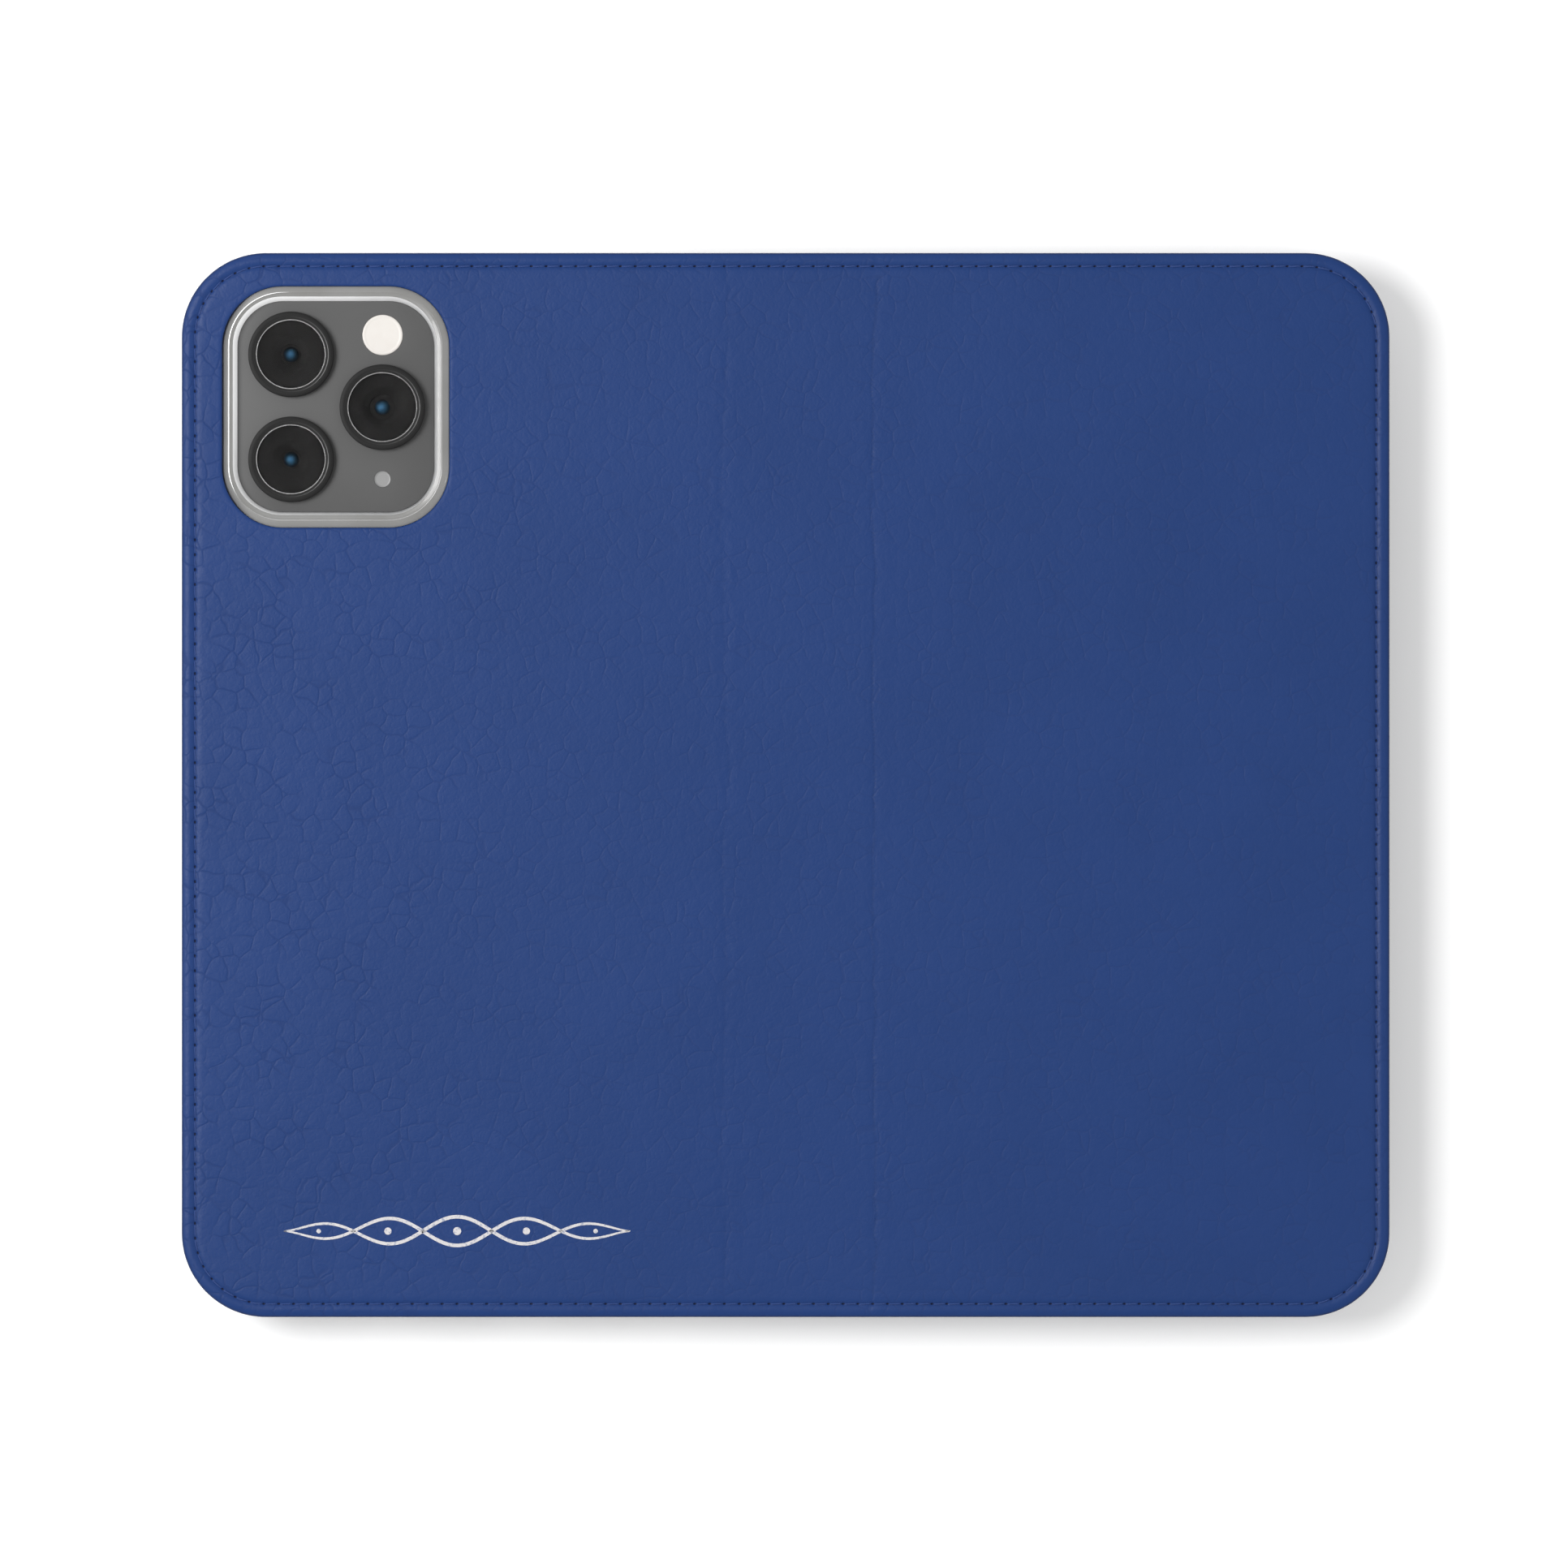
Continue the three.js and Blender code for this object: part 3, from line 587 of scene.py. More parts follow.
def lining_half(side):
    """One half of the lining, a thin sheet with a soft edge and needle marks under the stitches."""
    walk = cover_walk(side)
    places, inward = walk.columns([share for share, _ in LINING_COLUMNS])
    in_hole = np.array([depth for _, depth in LINING_COLUMNS] * walk.stitches + [1.0])
    section = [(2.4, lining_top, 0.0), (1.05, lining_top, 0.0), (0.92, lining_top, -0.08)]
    section += [(inset, lining_bottom, height) for inset, height in LINING_LOWER]
    build = Build()
    edges = [places + inward * inset for inset, _, _ in section]
    rows = []
    for xy, (inset, base, height) in zip(edges, section):
        pit = in_hole * (inset == STITCH_INSET)
        rows.append(build.add(xy, base(xy[:, 0]) + height + NEEDLE_DEPTH * pit, pit=pit))
    build.stack(rows, len(places), closed=False)
    windows = []
    if side == "back":
        windows = [window_loop(0.0)]
        rows = [build.add(windows[0], z) for z in (COVER_LINING_HIGH[2], COVER_LINING_LOW[2])]
        build.stack(rows, len(windows[0]))
    points = face_points(side, 4.0, 120, 4.5, strip=(0.3, 0.7, 1.1, 1.6, 2.2, 3.0))
    for edge, base, strength in ((edges[0], lining_top, 0.0), (edges[-1], lining_bottom, 1.0)):
        loop = np.vstack([edge, seam_points(edge[-1], edge[0], 5)])
        xy, triangles = triangulate([loop] + windows, points, lambda x, y: inside_window(x, y) < 0)
        x, y = xy.T
        ripple = strength * 0.5 * relief(x, y) * step(inside_cover(x, y) - 2.8)
        build.triangles(xy, base(x) + ripple, triangles)
    return build


THREAD_SHARES = (0.12, 0.17, 0.27, 0.5, 0.73, 0.83, 0.88)
THREAD_SIDES = 6


def sew(build, walk, k, outward, height, tilt=0.0):
    """One stitch of a walk: a short tube with its ends sunk in.

    outward is 1 on an upper face and -1 on a lower one, and height says how high the tube's middle
    lies at a place and a share of the stitch.
    """
    rings = []
    for share in THREAD_SHARES:
        place, inward = walk.at((k + share) * walk.pitch)
        shift = walk.inset + tilt * (share - 0.5) * outward
        x, y = place[0] + inward[0] * shift, place[1] + inward[1] * shift
        z = height(x, y, share)
        radius = THREAD_RADIUS * (0.6 if share in (THREAD_SHARES[0], THREAD_SHARES[-1]) else 1)
        ring = []
        for i in range(THREAD_SIDES):
            a = 2 * math.pi * i / THREAD_SIDES
            sideways = radius * math.cos(a)
            up = outward * 0.8 * radius * math.sin(a)
            ring.append((x + inward[0] * sideways, y + inward[1] * sideways, z + up))
        rings.append(build.place(ring))
    build.stack(rings, THREAD_SIDES, caps=(0, -1))


def cover_arch(share):
    """How far up its arch the thread is at a share of a stitch, 1 in the middle."""
    return 1 - (abs(2 * share - 1) / 0.8) ** 5


def outer_thread(x, y, share):
    return FACE - 0.36 + 0.24 * cover_arch(share) + float(relief([x], [y])[0])


def inner_thread(x, y, share):
    return float(lining_bottom(x)) + 0.12 - 0.12 * cover_arch(share)


def stitching_half(side):
    """The saddle stitch of one half of the cover, on its outer face and on its lining."""
    walk = cover_walk(side)
    build = Build()
    for k in range(walk.stitches):
        sew(build, walk, k, 1, outer_thread, STITCH_TILT)
        sew(build, walk, k, -1, inner_thread, STITCH_TILT)
    return build


# ---- Materials ----

class Look:
    """A material with a Principled shader, and short ways to add nodes to it."""

    def __init__(self, name, **constants):
        self.material = bpy.data.materials.new(name)
        self.material.use_nodes = True
        self.tree = self.material.node_tree
        self.shader = self.tree.nodes["Principled BSDF"]
        for socket, value in constants.items():
            self.shader.inputs[socket.replace("_", " ")].default_value = value

    def node(self, kind, inputs=None, **settings):
        made = self.tree.nodes.new(kind)
        for key, value in settings.items():
            setattr(made, key, value)
        for key, value in (inputs or {}).items():
            if isinstance(value, bpy.types.NodeSocket):
                self.tree.links.new(value, made.inputs[key])
            else:
                made.inputs[key].default_value = value
        return made

    def link(self, socket, name="Base Color"):
        self.tree.links.new(socket, self.shader.inputs[name])

    def place(self, rest=False):
        """Place on the piece in millimetres: the stored one, or the object's own."""
        if rest:
            return self.node("ShaderNodeAttribute", attribute_name="rest").outputs["Vector"]
        own = self.node("ShaderNodeTexCoord").outputs["Object"]
        return self.node("ShaderNodeVectorMath", {0: own, 3: 1 / MM}, operation="SCALE").outputs[0]

    def attribute(self, name):
        return self.node("ShaderNodeAttribute", attribute_name=name).outputs["Fac"]

    def math(self, operation, *values):
        return self.node("ShaderNodeMath", dict(enumerate(values)), operation=operation).outputs[0]

    def noise(self, vector, scale, detail=2.0, roughness=0.5):
        inputs = {"Vector": vector, "Scale": scale, "Detail": detail, "Roughness": roughness}
        return self.node("ShaderNodeTexNoise", inputs).outputs["Fac"]

    def cells(self, vector, scale):
        """Distance to the nearest wall between cells."""
        inputs = {"Vector": vector, "Scale": scale}
        return self.node("ShaderNodeTexVoronoi", inputs, feature="DISTANCE_TO_EDGE").outputs["Distance"]

    def ramp(self, value, low, high, out_low=0.0, out_high=1.0):
        inputs = {"Value": value, "From Min": low, "From Max": high, "To Min": out_low, "To Max": out_high}
        return self.node("ShaderNodeMapRange", inputs, interpolation_type="SMOOTHSTEP").outputs[0]

    def mix(self, share, a, b):
        return self.node("ShaderNodeMix", {0: share, 6: a, 7: b}, data_type="RGBA").outputs[2]

    def bump(self, height, depth):
        """Bump of that depth in millimetres for a height from 0 to 1."""
        inputs = {"Height": height, "Distance": depth * MM, "Strength": 1.0}
        self.link(self.node("ShaderNodeBump", inputs).outputs["Normal"], "Normal")


def srgb(r, g, b):
    """Linear colour from 8-bit sRGB values."""
    scaled = [v / 255 for v in (r, g, b)]
    return tuple(v / 12.92 if v <= 0.04045 else ((v + 0.055) / 1.055) ** 2.4 for v in scaled) + (1.0,)


def grey(value):
    return srgb(value, value, value)


def warped(look, vector, size, amount):
    """The place moved about by soft noise, so that cell walls curve."""
    inputs = {"Vector": vector, "Scale": 1 / size, "Detail": 1.0}
    shift = look.node("ShaderNodeTexNoise", inputs).outputs["Color"]
    centred = look.node("ShaderNodeVectorMath", {0: shift, 1: (0.5, 0.5, 0.5)}, operation="SUBTRACT")
    scaled = look.node("ShaderNodeVectorMath", {0: centred.outputs[0], 3: amount}, operation="SCALE")
    return look.node("ShaderNodeVectorMath", {0: vector, 1: scaled.outputs[0]}).outputs[0]


def toned(name, dark, light, cloud, rough=None, bump=None, **constants):
    """A material with clouds of noise between two colours.

    cloud holds the noise's scale, detail and roughness. rough starts with the least roughness and
    what its own noise adds, and bump with its depth. Without a noise of its own it uses the clouds.
    """
    look = Look(name, **constants)
    place = look.place()
    clouds = look.noise(place, *cloud)
    look.link(look.mix(clouds, dark, light))
    if rough:
        least, amount, *grain = rough
        look.link(look.math("MULTIPLY_ADD", look.noise(place, *grain), amount, least), "Roughness")
    if bump:
        depth, *grain = bump
        look.bump(look.noise(place, *grain) if grain else clouds, depth)
    return look.material


LEATHER_LIGHT = srgb(28, 57, 113)
LEATHER_DARK = srgb(26, 55, 110)
LEATHER_CRACK = srgb(18, 34, 78)
# Painted shade for the stitch holes.
PAINTED_HOLE_SHADE = srgb(5, 10, 44)
# Painted shade for the very edge and the creases.
PAINTED_EDGE_AND_CREASE_SHADE = srgb(14, 24, 52)
GRAIN_FADE = (-92.0, -22.0)  # the grain weakens from the first place to the second, along X


def cover_leather():
    """Semi-matt blue leather with a crackled grain that is strongest at the back cover's fore edge."""
    look = Look("cover_leather", Specular_IOR_Level=0.2)
    place = look.place(rest=True)
    large = look.cells(warped(look, place, 3.0, 1.6), 0.36)
    wall = look.ramp(large, 0.0, 0.085)
    patch = look.ramp(look.noise(place, 0.16, 1.0), 0.4, 0.6)
    x = look.node("ShaderNodeSeparateXYZ", {0: place}).outputs[0]
    towards_left = look.ramp(x, *GRAIN_FADE, 0.9, 0.5)
    share = look.math("MULTIPLY", look.math("MULTIPLY_ADD", patch, 0.8, 0.2), towards_left)
    crack = look.math("MULTIPLY", look.math("SUBTRACT", 1.0, wall), share)
    dome = look.math("MULTIPLY", look.ramp(large, 0.0, 0.4), towards_left)
    small = look.cells(warped(look, place, 1.2, 0.8), 1.05)
    fine = look.math("MULTIPLY", look.ramp(small, 0.0, 0.3), 0.16)
    fibre = look.noise(place, 3.2, 3.0, 0.6)
    height = look.math("MULTIPLY_ADD", crack, -0.6, 1.0)
    height = look.math("MULTIPLY_ADD", dome, 0.4, height)
    height = look.math("ADD", height, fine)
    look.bump(look.math("MULTIPLY_ADD", fibre, 0.3, height), 0.05)
    tone = look.ramp(look.noise(place, 0.05, 3.0, 0.55), 0.3, 0.7)
    dyed = look.mix(tone, LEATHER_DARK, LEATHER_LIGHT)
    cracked = look.mix(look.math("MULTIPLY", crack, 0.22), dyed, LEATHER_CRACK)
    # Painted shade darkens the stitch holes.
    holed = look.mix(look.ramp(look.attribute("pit"), 0.2, 0.5), cracked, PAINTED_HOLE_SHADE)
    # Painted shade at the very edge and along the creases, carried by rim.
    look.link(look.mix(look.math("MULTIPLY", look.attribute("rim"), 0.65), holed, PAINTED_EDGE_AND_CREASE_SHADE))
    rough = look.math("MULTIPLY_ADD", look.noise(place, 0.9, 3.0), 0.16, 0.36)
    look.link(look.math("MULTIPLY_ADD", crack, 0.15, rough), "Roughness")
    return look.material


def lining_cloth():
    """Fine dark microfibre, with a soft nap."""
    look = Look("lining_microfibre", Roughness=0.92, Sheen_Weight=0.35, Sheen_Roughness=0.4)
    place = look.place(rest=True)
    nap = look.noise(place, 5.0, 4.0, 0.7)
    brushed = look.noise(place, 0.22, 2.0)
    colour = look.mix(look.ramp(brushed, 0.35, 0.65), srgb(44, 48, 60), srgb(50, 54, 67))
    speckled = look.mix(look.ramp(nap, 0.5, 0.8, 0.0, 0.35), colour, srgb(86, 90, 104))
    # Painted shade darkens the needle marks.
    look.link(look.mix(look.ramp(look.attribute("pit"), 0.3, 0.9), speckled, srgb(10, 10, 14)))
    look.bump(nap, 0.06)
    return look.material


def pocket_leather():
    """Smooth dark leather with a fine print."""
    look = Look("pocket_leather", Specular_IOR_Level=0.4)
    place = look.place(rest=True)
    pores = look.cells(warped(look, place, 0.8, 0.4), 1.6)
    fine = look.noise(place, 4.0, 3.0, 0.6)
    look.bump(look.math("MULTIPLY_ADD", fine, 0.4, look.ramp(pores, 0.0, 0.2)), 0.03)
    tone = look.ramp(look.noise(place, 0.09, 3.0), 0.3, 0.7)
    look.link(look.mix(tone, srgb(44, 48, 60), srgb(56, 60, 74)))
    look.link(look.math("MULTIPLY_ADD", look.noise(place, 0.6, 2.0), 0.2, 0.4), "Roughness")
    return look.material


def thread_look(name, light, dark):
    """Twisted sewing thread."""
    look = Look(name, Roughness=0.6, Specular_IOR_Level=0.25)
    place = look.place(rest=True)
    turned = look.node("ShaderNodeMapping", {"Vector": place, "Rotation": (0.3, 0.4, 0.8)}).outputs[0]
    inputs = {"Vector": turned, "Scale": 2.6, "Distortion": 0.6}
    ply = look.node("ShaderNodeTexWave", inputs).outputs["Fac"]
    look.link(look.mix(ply, dark, light))
    look.bump(ply, 0.03)
    return look.material


def shell_plastic():
    """Frosted translucent polycarbonate."""
    return toned(
        "shell_polycarbonate", srgb(140, 139, 136), srgb(164, 164, 163), cloud=(0.18, 3.0),
        rough=(0.24, 0.15, 1.2, 3.0), bump=(0.008, 6.0, 2.0),
        IOR=1.52, Transmission_Weight=0.3, Coat_Weight=0.25,
    )


def shell_edge():
    """The shell's polished inner edge, coloured near-white as a painted highlight, with a painted glow that
    grows towards the top left.
    """
    look = Look("shell_edge_painted_highlight", Roughness=0.15, Coat_Weight=0.5, Emission_Color=(1, 1, 1, 1))
    place = look.place()
    # Painted glow, growing towards the top left, over a near-white painted highlight colour.
    across = look.node("ShaderNodeVectorMath", {0: place, 1: (-0.0144, 0.0095, 0)}, operation="DOT_PRODUCT")
    look.link(look.ramp(across.outputs["Value"], 1.25, 1.95, 0.0, 0.55), "Emission Strength")
    look.link(look.mix(look.noise(place, 0.7, 2.0), srgb(206, 207, 208), srgb(240, 241, 242)))
    return look.material


def grained_metal(name, light, dark, roughness, metallic=1.0, sheen=0.5):
    """Satin metal with a bead-blasted grain."""
    return toned(
        name, dark, light, cloud=(9.0, 3.0, 0.7), rough=(roughness, 0.12, 0.8, 2.0), bump=(0.006,),
        Metallic=metallic, Specular_IOR_Level=sheen,
    )


def frosted_glass(name, light, dark, roughness):
    """Matt glass over a dark colour."""
    return toned(
        name, dark, light, cloud=(0.12, 3.0), rough=(roughness, 0.1, 14.0, 2.0), bump=(0.0015, 22.0, 2.0),
        Specular_IOR_Level=0.4,
    )


def clear_glass():
    """Coated lens cover."""
    tint = srgb(242, 241, 240)
    look = Look("lens_cover_glass", Base_Color=tint, Roughness=0.02, IOR=1.18, Transmission_Weight=1.0)
    look.bump(look.noise(look.place(), 0.4, 1.0), 0.002)
    return look.material


def coated_element():
    """Front element of a lens, with a blue coating and a painted blue reflection in its middle."""
    constants = {"Roughness": 0.3, "Specular_IOR_Level": 0.5, "Specular_Tint": (0.2, 0.62, 1.0, 1.0)}
    look = Look("lens_front_element", **constants)
    dark = look.mix(look.noise(look.place(), 0.5, 1.0), srgb(2, 4, 8), srgb(3, 7, 13))
    # Painted blue reflection in the element's middle.
    look.link(look.mix(look.attribute("painted_reflection"), dark, srgb(54, 98, 134)))
    return look.material


def grille_look():
    """Light grey mesh over the microphone."""
    look = Look("microphone_mesh", Roughness=0.5, Metallic=0.3)
    inputs = {"Vector": look.place(), "Scale": 3.6, "Randomness": 0.0}
    dots = look.node("ShaderNodeTexVoronoi", inputs).outputs["Distance"]
    thread = look.ramp(dots, 0.2, 0.45)
    look.link(look.mix(thread, grey(100), grey(138)))
    look.bump(thread, 0.03)
    return look.material


def greyboard():
    """Pressed paper board with flecks."""
    look = Look("greyboard", Roughness=0.9)
    fleck = look.noise(look.place(), 2.4, 4.0, 0.7)
    look.link(look.mix(look.ramp(fleck, 0.35, 0.7), srgb(120, 110, 95), srgb(158, 148, 130)))
    look.bump(fleck, 0.05)
    return look.material


def print_ink():
    """Pale grey ink that has sunk into the grain."""
    look = Look("printed_ornament", Roughness=0.55)
    place = look.place(rest=True)
    wear_and_crease_shade = look.ramp(look.noise(place, 2.2, 3.0, 0.6), 0.3, 0.5)
    look.link(look.mix(wear_and_crease_shade, srgb(150, 156, 176), srgb(206, 203, 204)))
    look.bump(look.noise(place, 3.2, 3.0), 0.02)
    return look.material


LEATHER = cover_leather()
LINING = lining_cloth()
POCKET = pocket_leather()
THREAD = thread_look("sewing_thread", srgb(56, 80, 138), srgb(46, 68, 124))
POCKET_THREAD = thread_look("pocket_thread", srgb(74, 80, 98), srgb(50, 55, 70))
SHELL = shell_plastic()
SHELL_EDGE_PAINTED_HIGHLIGHT = shell_edge()
PHONE_METAL = grained_metal("phone_frame_metal", srgb(120, 120, 122), srgb(96, 96, 98), 0.3)
RING_METAL = grained_metal("lens_ring_anodised", grey(32), grey(28), 0.42, metallic=0.0, sheen=0.15)
RING_POLISHED = grained_metal("lens_ring_polished", grey(150), grey(138), 0.2)
RING_CHAMFER = grained_metal("lens_ring_chamfer", grey(66), grey(58), 0.25)
PLATE_GLASS = frosted_glass("camera_plate_glass", grey(79), grey(74), 0.42)
BACK_GLASS = frosted_glass("phone_back_glass_matt", srgb(90, 90, 92), srgb(82, 82, 84), 0.38)
# Polished black glass.
SCREEN_GLASS = toned(
    "phone_screen_black", srgb(8, 8, 10), srgb(14, 14, 17), cloud=(0.06, 2.0), Roughness=0.06, Coat_Weight=0.5
)
LENS_COVER = clear_glass()
LENS_ELEMENT = coated_element()
# Matt black inside of a lens.
BARREL = toned(
    "lens_barrel_black", srgb(20, 21, 22), srgb(28, 29, 30), cloud=(1.4, 2.0), bump=(0.01, 10.0, 2.0),
    Roughness=0.55, Specular_IOR_Level=0.15,
)
# Warm white diffuser.
FLASH = toned(
    "flash_diffuser", srgb(218, 213, 207), srgb(224, 220, 215), cloud=(0.5, 2.0), bump=(0.006, 3.0, 2.0),
    Roughness=0.35, Specular_IOR_Level=0.3,
)
GRILLE = grille_look()
BOARD = greyboard()
# Milky double-sided sheet.
ADHESIVE = toned(
    "adhesive_sheet", srgb(222, 219, 208), srgb(236, 234, 226), cloud=(0.5, 3.0), bump=(0.03,), Roughness=0.5
)
INK = print_ink()


# ---- Cover pieces ----

def make_cover():
    spine_threads = ("spine_thread_top", "spine_thread_bottom")
    for side in ("back", "front"):
        leather = leather_half(side).piece(f"{side}_leather_skin", LEATHER, rest=True)
        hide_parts(f"{side}_leather", "spine_leather")
        lining = lining_half(side).piece(f"{side}_lining_sheet", LINING, rest=True)
        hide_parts(f"{side}_lining", "spine_lining")
        stitches = stitching_half(side).piece(f"{side}_stitching", THREAD, rest=True)
        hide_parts(f"{side}_thread", *spine_threads)
        for piece in (leather, lining, stitches):
            bend_with_crease(piece)


# ---- Shell round the phone, with the lip that stands up in the cover's window ----

PHONE_RADIUS = 10.5
SHELL_GAP = 0.2
SHELL_WALL = 1.1
SHELL_ROLL = 1.2
SHELL_PLATE = 1.1
CAVITY_ROLL = 1.6
LIP_GAP = 0.04
LIP_BELOW_FACE = 0.25
SHELL_ARC = 12
SHELL_ALONG = (24, 44)
# The lip in section: inset from its outer side, and height from its crest or from the shell's plate.
LIP_CREST = (
    (0.0, -0.85), (0.05, -0.7), (0.3, -0.46), (0.6, -0.23), (0.88, -0.05), (1.0, 0.0), (1.15, -0.01),
    (1.22, -0.1), (1.34, -0.13), (1.65, -0.14), (1.73, -0.18), (1.78, -0.28), (1.98, -1.2), (2.28, -2.2),
)
LIP_SECTION = [(-0.3, 0.0, "plate"), (0.0, 0.1, "plate")] + [(*point, "crest") for point in LIP_CREST]
LIP_SECTION.append((2.28, -SHELL_PLATE, "plate"))
LIP_WIDTH = LIP_SECTION[-1][0]
# How far the lip's inner side lies off its outer side, at these insets.
LIP_SHIFT_AT = (0.0, 1.65, 2.28)
LIP_SHIFT_X = (0.0, -0.16, -0.06)
LIP_SHIFT_Y = (0.0, 0.2, 0.11)
LIP_SHALLOW = 0.25  # what is left of the outer slope's depth away from the fore edge
LIP_HIGHLIGHT_SPANS = (12, 13, 14)  # the spans of that section that are polished and carry the painted highlight and glow
LIP_RIDGE = 7  # this one carries the painted highlight too, and is wide only at the back cover's fore edge
RIDGE_END_X = -5.5  # where that ridge begins to show, from the window's middle
RIDGE_END_Y = -14.5


def lip_shift(inset):
    return np.array([np.interp(inset, LIP_SHIFT_AT, shifts) for shifts in (LIP_SHIFT_X, LIP_SHIFT_Y)])


def lip_row(k):
    """The outline and heights, from its base, of one row of the lip's section."""
    inset, height, base = LIP_SECTION[k]
    loop = lip_loop(inset)
    x, y = loop.T
    if k == LIP_RIDGE + 1:
        ridge = lip_loop(LIP_SECTION[LIP_RIDGE][0])
        shown = step((WINDOW_X + RIDGE_END_X - x) / 6) * step((y - WINDOW_Y - RIDGE_END_Y) / 4)
        loop = ridge + (loop - ridge) * np.maximum(shown, 0.03)[:, None]
    at_fore_edge = step((WINDOW_X - 0.36 * WINDOW_WIDTH - x) / 3.5)
    deep = LIP_SHALLOW + (1 - LIP_SHALLOW) * at_fore_edge if base == "crest" and k < LIP_RIDGE else 1.0
    return loop + lip_shift(inset), height * deep, base


def phone_loop(margin):
    width, height = (PHONE_HIGH - PHONE_LOW)[:2]
    x, y = ((PHONE_HIGH + PHONE_LOW) / 2)[:2]
    size = (width + 2 * margin, height + 2 * margin, PHONE_RADIUS + margin)
    return rounded_loop(x, y, *size, SHELL_ARC, SHELL_ALONG)


PHONE_POINTS = len(phone_loop(0))


def lip_loop(inset):
    return window_loop(-LIP_GAP - inset, arc=16, along=(14, 14))


def quarter(radius, steps):
    """Insets and heights round a quarter circle."""
    for i in range(steps + 1):
        a = math.pi / 2 * i / steps
        yield radius * (1 - math.cos(a)), radius * math.sin(a)


def prism(loop, axis, low, high):
    """A solid of one outline drawn out along an axis: the outline's two coordinates are the others."""
    build = Build()
    rows = [build.place(np.insert(loop, axis, value, axis=1)) for value in (low, high)]
    build.stack(rows, len(loop), caps=(0, 1))
    return build.piece("cutter")


def carve(piece, cutters):
    """Cuts the cutters out of the piece and removes them."""
    for cutter in cutters:
        modifier = piece.modifiers.new("carve", "BOOLEAN")
        modifier.operation = "DIFFERENCE"
        modifier.solver = "EXACT"
        modifier.object = cutter
    graph = bpy.context.evaluated_depsgraph_get()
    mesh = bpy.data.meshes.new_from_object(piece.evaluated_get(graph))
    piece.modifiers.clear()
    piece.data = mesh
    mesh.set_sharp_from_angle(angle=math.radians(32))
    for cutter in cutters:
        bpy.data.objects.remove(cutter)


BUTTON_PIECES = {
    "side_button": "side_key",
    "volume_up_button": "volume_up_key",
    "volume_down_button": "volume_down_key",
    "ring_switch": "ring_slider",
}
CUTTER_RADIUS = 1.2
BELOW_RIM = -3.0  # a height below the shell's rim, so that a cutter opens it


def button_cutters(grow_y, grow_z, reach_in, low_to_rim):
    """A rounded cutter at each button, this much longer and taller than it."""
    made = []
    for node in BUTTON_PIECES:
        low, high = corners(node)
        edge = PHONE_LOW[0] if node == "side_button" else PHONE_HIGH[0]
        bottom = BELOW_RIM if low_to_rim else low[2] - grow_z
        top = high[2] + grow_z + (SWITCH_TRAVEL if node == "ring_switch" else 0)
        middle = ((low[1] + high[1]) / 2, (bottom + top) / 2)
        width, height = high[1] - low[1] + 2 * grow_y, top - bottom
        radius = min(CUTTER_RADIUS, 0.48 * height, 0.48 * width)
        loop = rounded_loop(*middle, width, height, radius, 6, (1, 1))
        made.append(prism(loop, 0, edge - reach_in, edge + reach_in))
    return made


PORT_CUTOUT = (13.0, 5.3, 2.2)
SPEAKER_CUTOUT = (16.0, 5.3, 2.2)
SPEAKER_OFFSET = 22.0
PHONE_MIDDLE_X = (PHONE_LOW[0] + PHONE_HIGH[0]) / 2
CUTOUT_MIDDLE_Z = 4.55


def socket_cutters():
    """Windows in the shell's bottom wall at the charging port and the speakers."""
    made = []
    windows = ((0, PORT_CUTOUT), (SPEAKER_OFFSET, SPEAKER_CUTOUT), (-SPEAKER_OFFSET, SPEAKER_CUTOUT))
    for offset, size in windows:
        loop = rounded_loop(PHONE_MIDDLE_X + offset, CUTOUT_MIDDLE_Z, *size, 6, (1, 1))
        made.append(prism(loop, 1, PHONE_LOW[1] - 3, PHONE_LOW[1] + 1.2))
    return made


def make_shell():
    build = Build()
    plate_top = corners("shell_adhesive")[0][2] - GLUE_LINE
    cavity_top = plate_top - SHELL_PLATE
    outer = SHELL_GAP + SHELL_WALL
    outside = [(SHELL_GAP, 0.25), (SHELL_GAP + 0.2, 0.0)]
    outside += [(outer - 0.3, 0.0), (outer - 0.08, 0.08), (outer, 0.3)]
    outside += [(outer - a, plate_top - SHELL_ROLL + b) for a, b in quarter(SHELL_ROLL, 8)]
    cavity = [(SHELL_GAP, 0.25)]
    cavity += [(SHELL_GAP - a, cavity_top - CAVITY_ROLL + b) for a, b in quarter(CAVITY_ROLL, 6)]
    for section in (outside, cavity):
        build.stack([build.add(phone_loop(margin), z) for margin, z in section], PHONE_POINTS)
    levels = {"plate": plate_top, "crest": FACE - LIP_BELOW_FACE}
    rows = []
    for k in range(len(LIP_SECTION)):
        loop, height, base = lip_row(k)
        rows.append(build.add(loop, levels[base] + height))
    for k, (a, b) in enumerate(zip(rows, rows[1:])):
        # Slot 1 is the painted highlight and glow on the lip's polished spans.
        build.bridge(a, b, len(loop), slot=1 if k in LIP_HIGHLIGHT_SPANS or k == LIP_RIDGE else 0)
    for margin, k, z in ((outer - SHELL_ROLL, 0, plate_top), (SHELL_GAP - CAVITY_ROLL, -1, cavity_top)):
        hole = lip_row(k)[0]
        # The flat's triangles keep their centres half a millimetre clear of the hole.
        limit = inside_window(*hole.T).min() - 0.5
        outlines = [phone_loop(margin), hole]
        xy, triangles = triangulate(outlines, [], lambda x, y, limit=limit: inside_window(x, y) < limit)
        build.triangles(xy, z, triangles)
    shell = build.piece("shell_moulding", SHELL, SHELL_EDGE_PAINTED_HIGHLIGHT, sharp_deg=32)
    carve(shell, button_cutters(1.9, 1.3, 2.3, low_to_rim=True) + socket_cutters())
    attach(shell, "back_cover")
    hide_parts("shell")


# ---- Camera ----

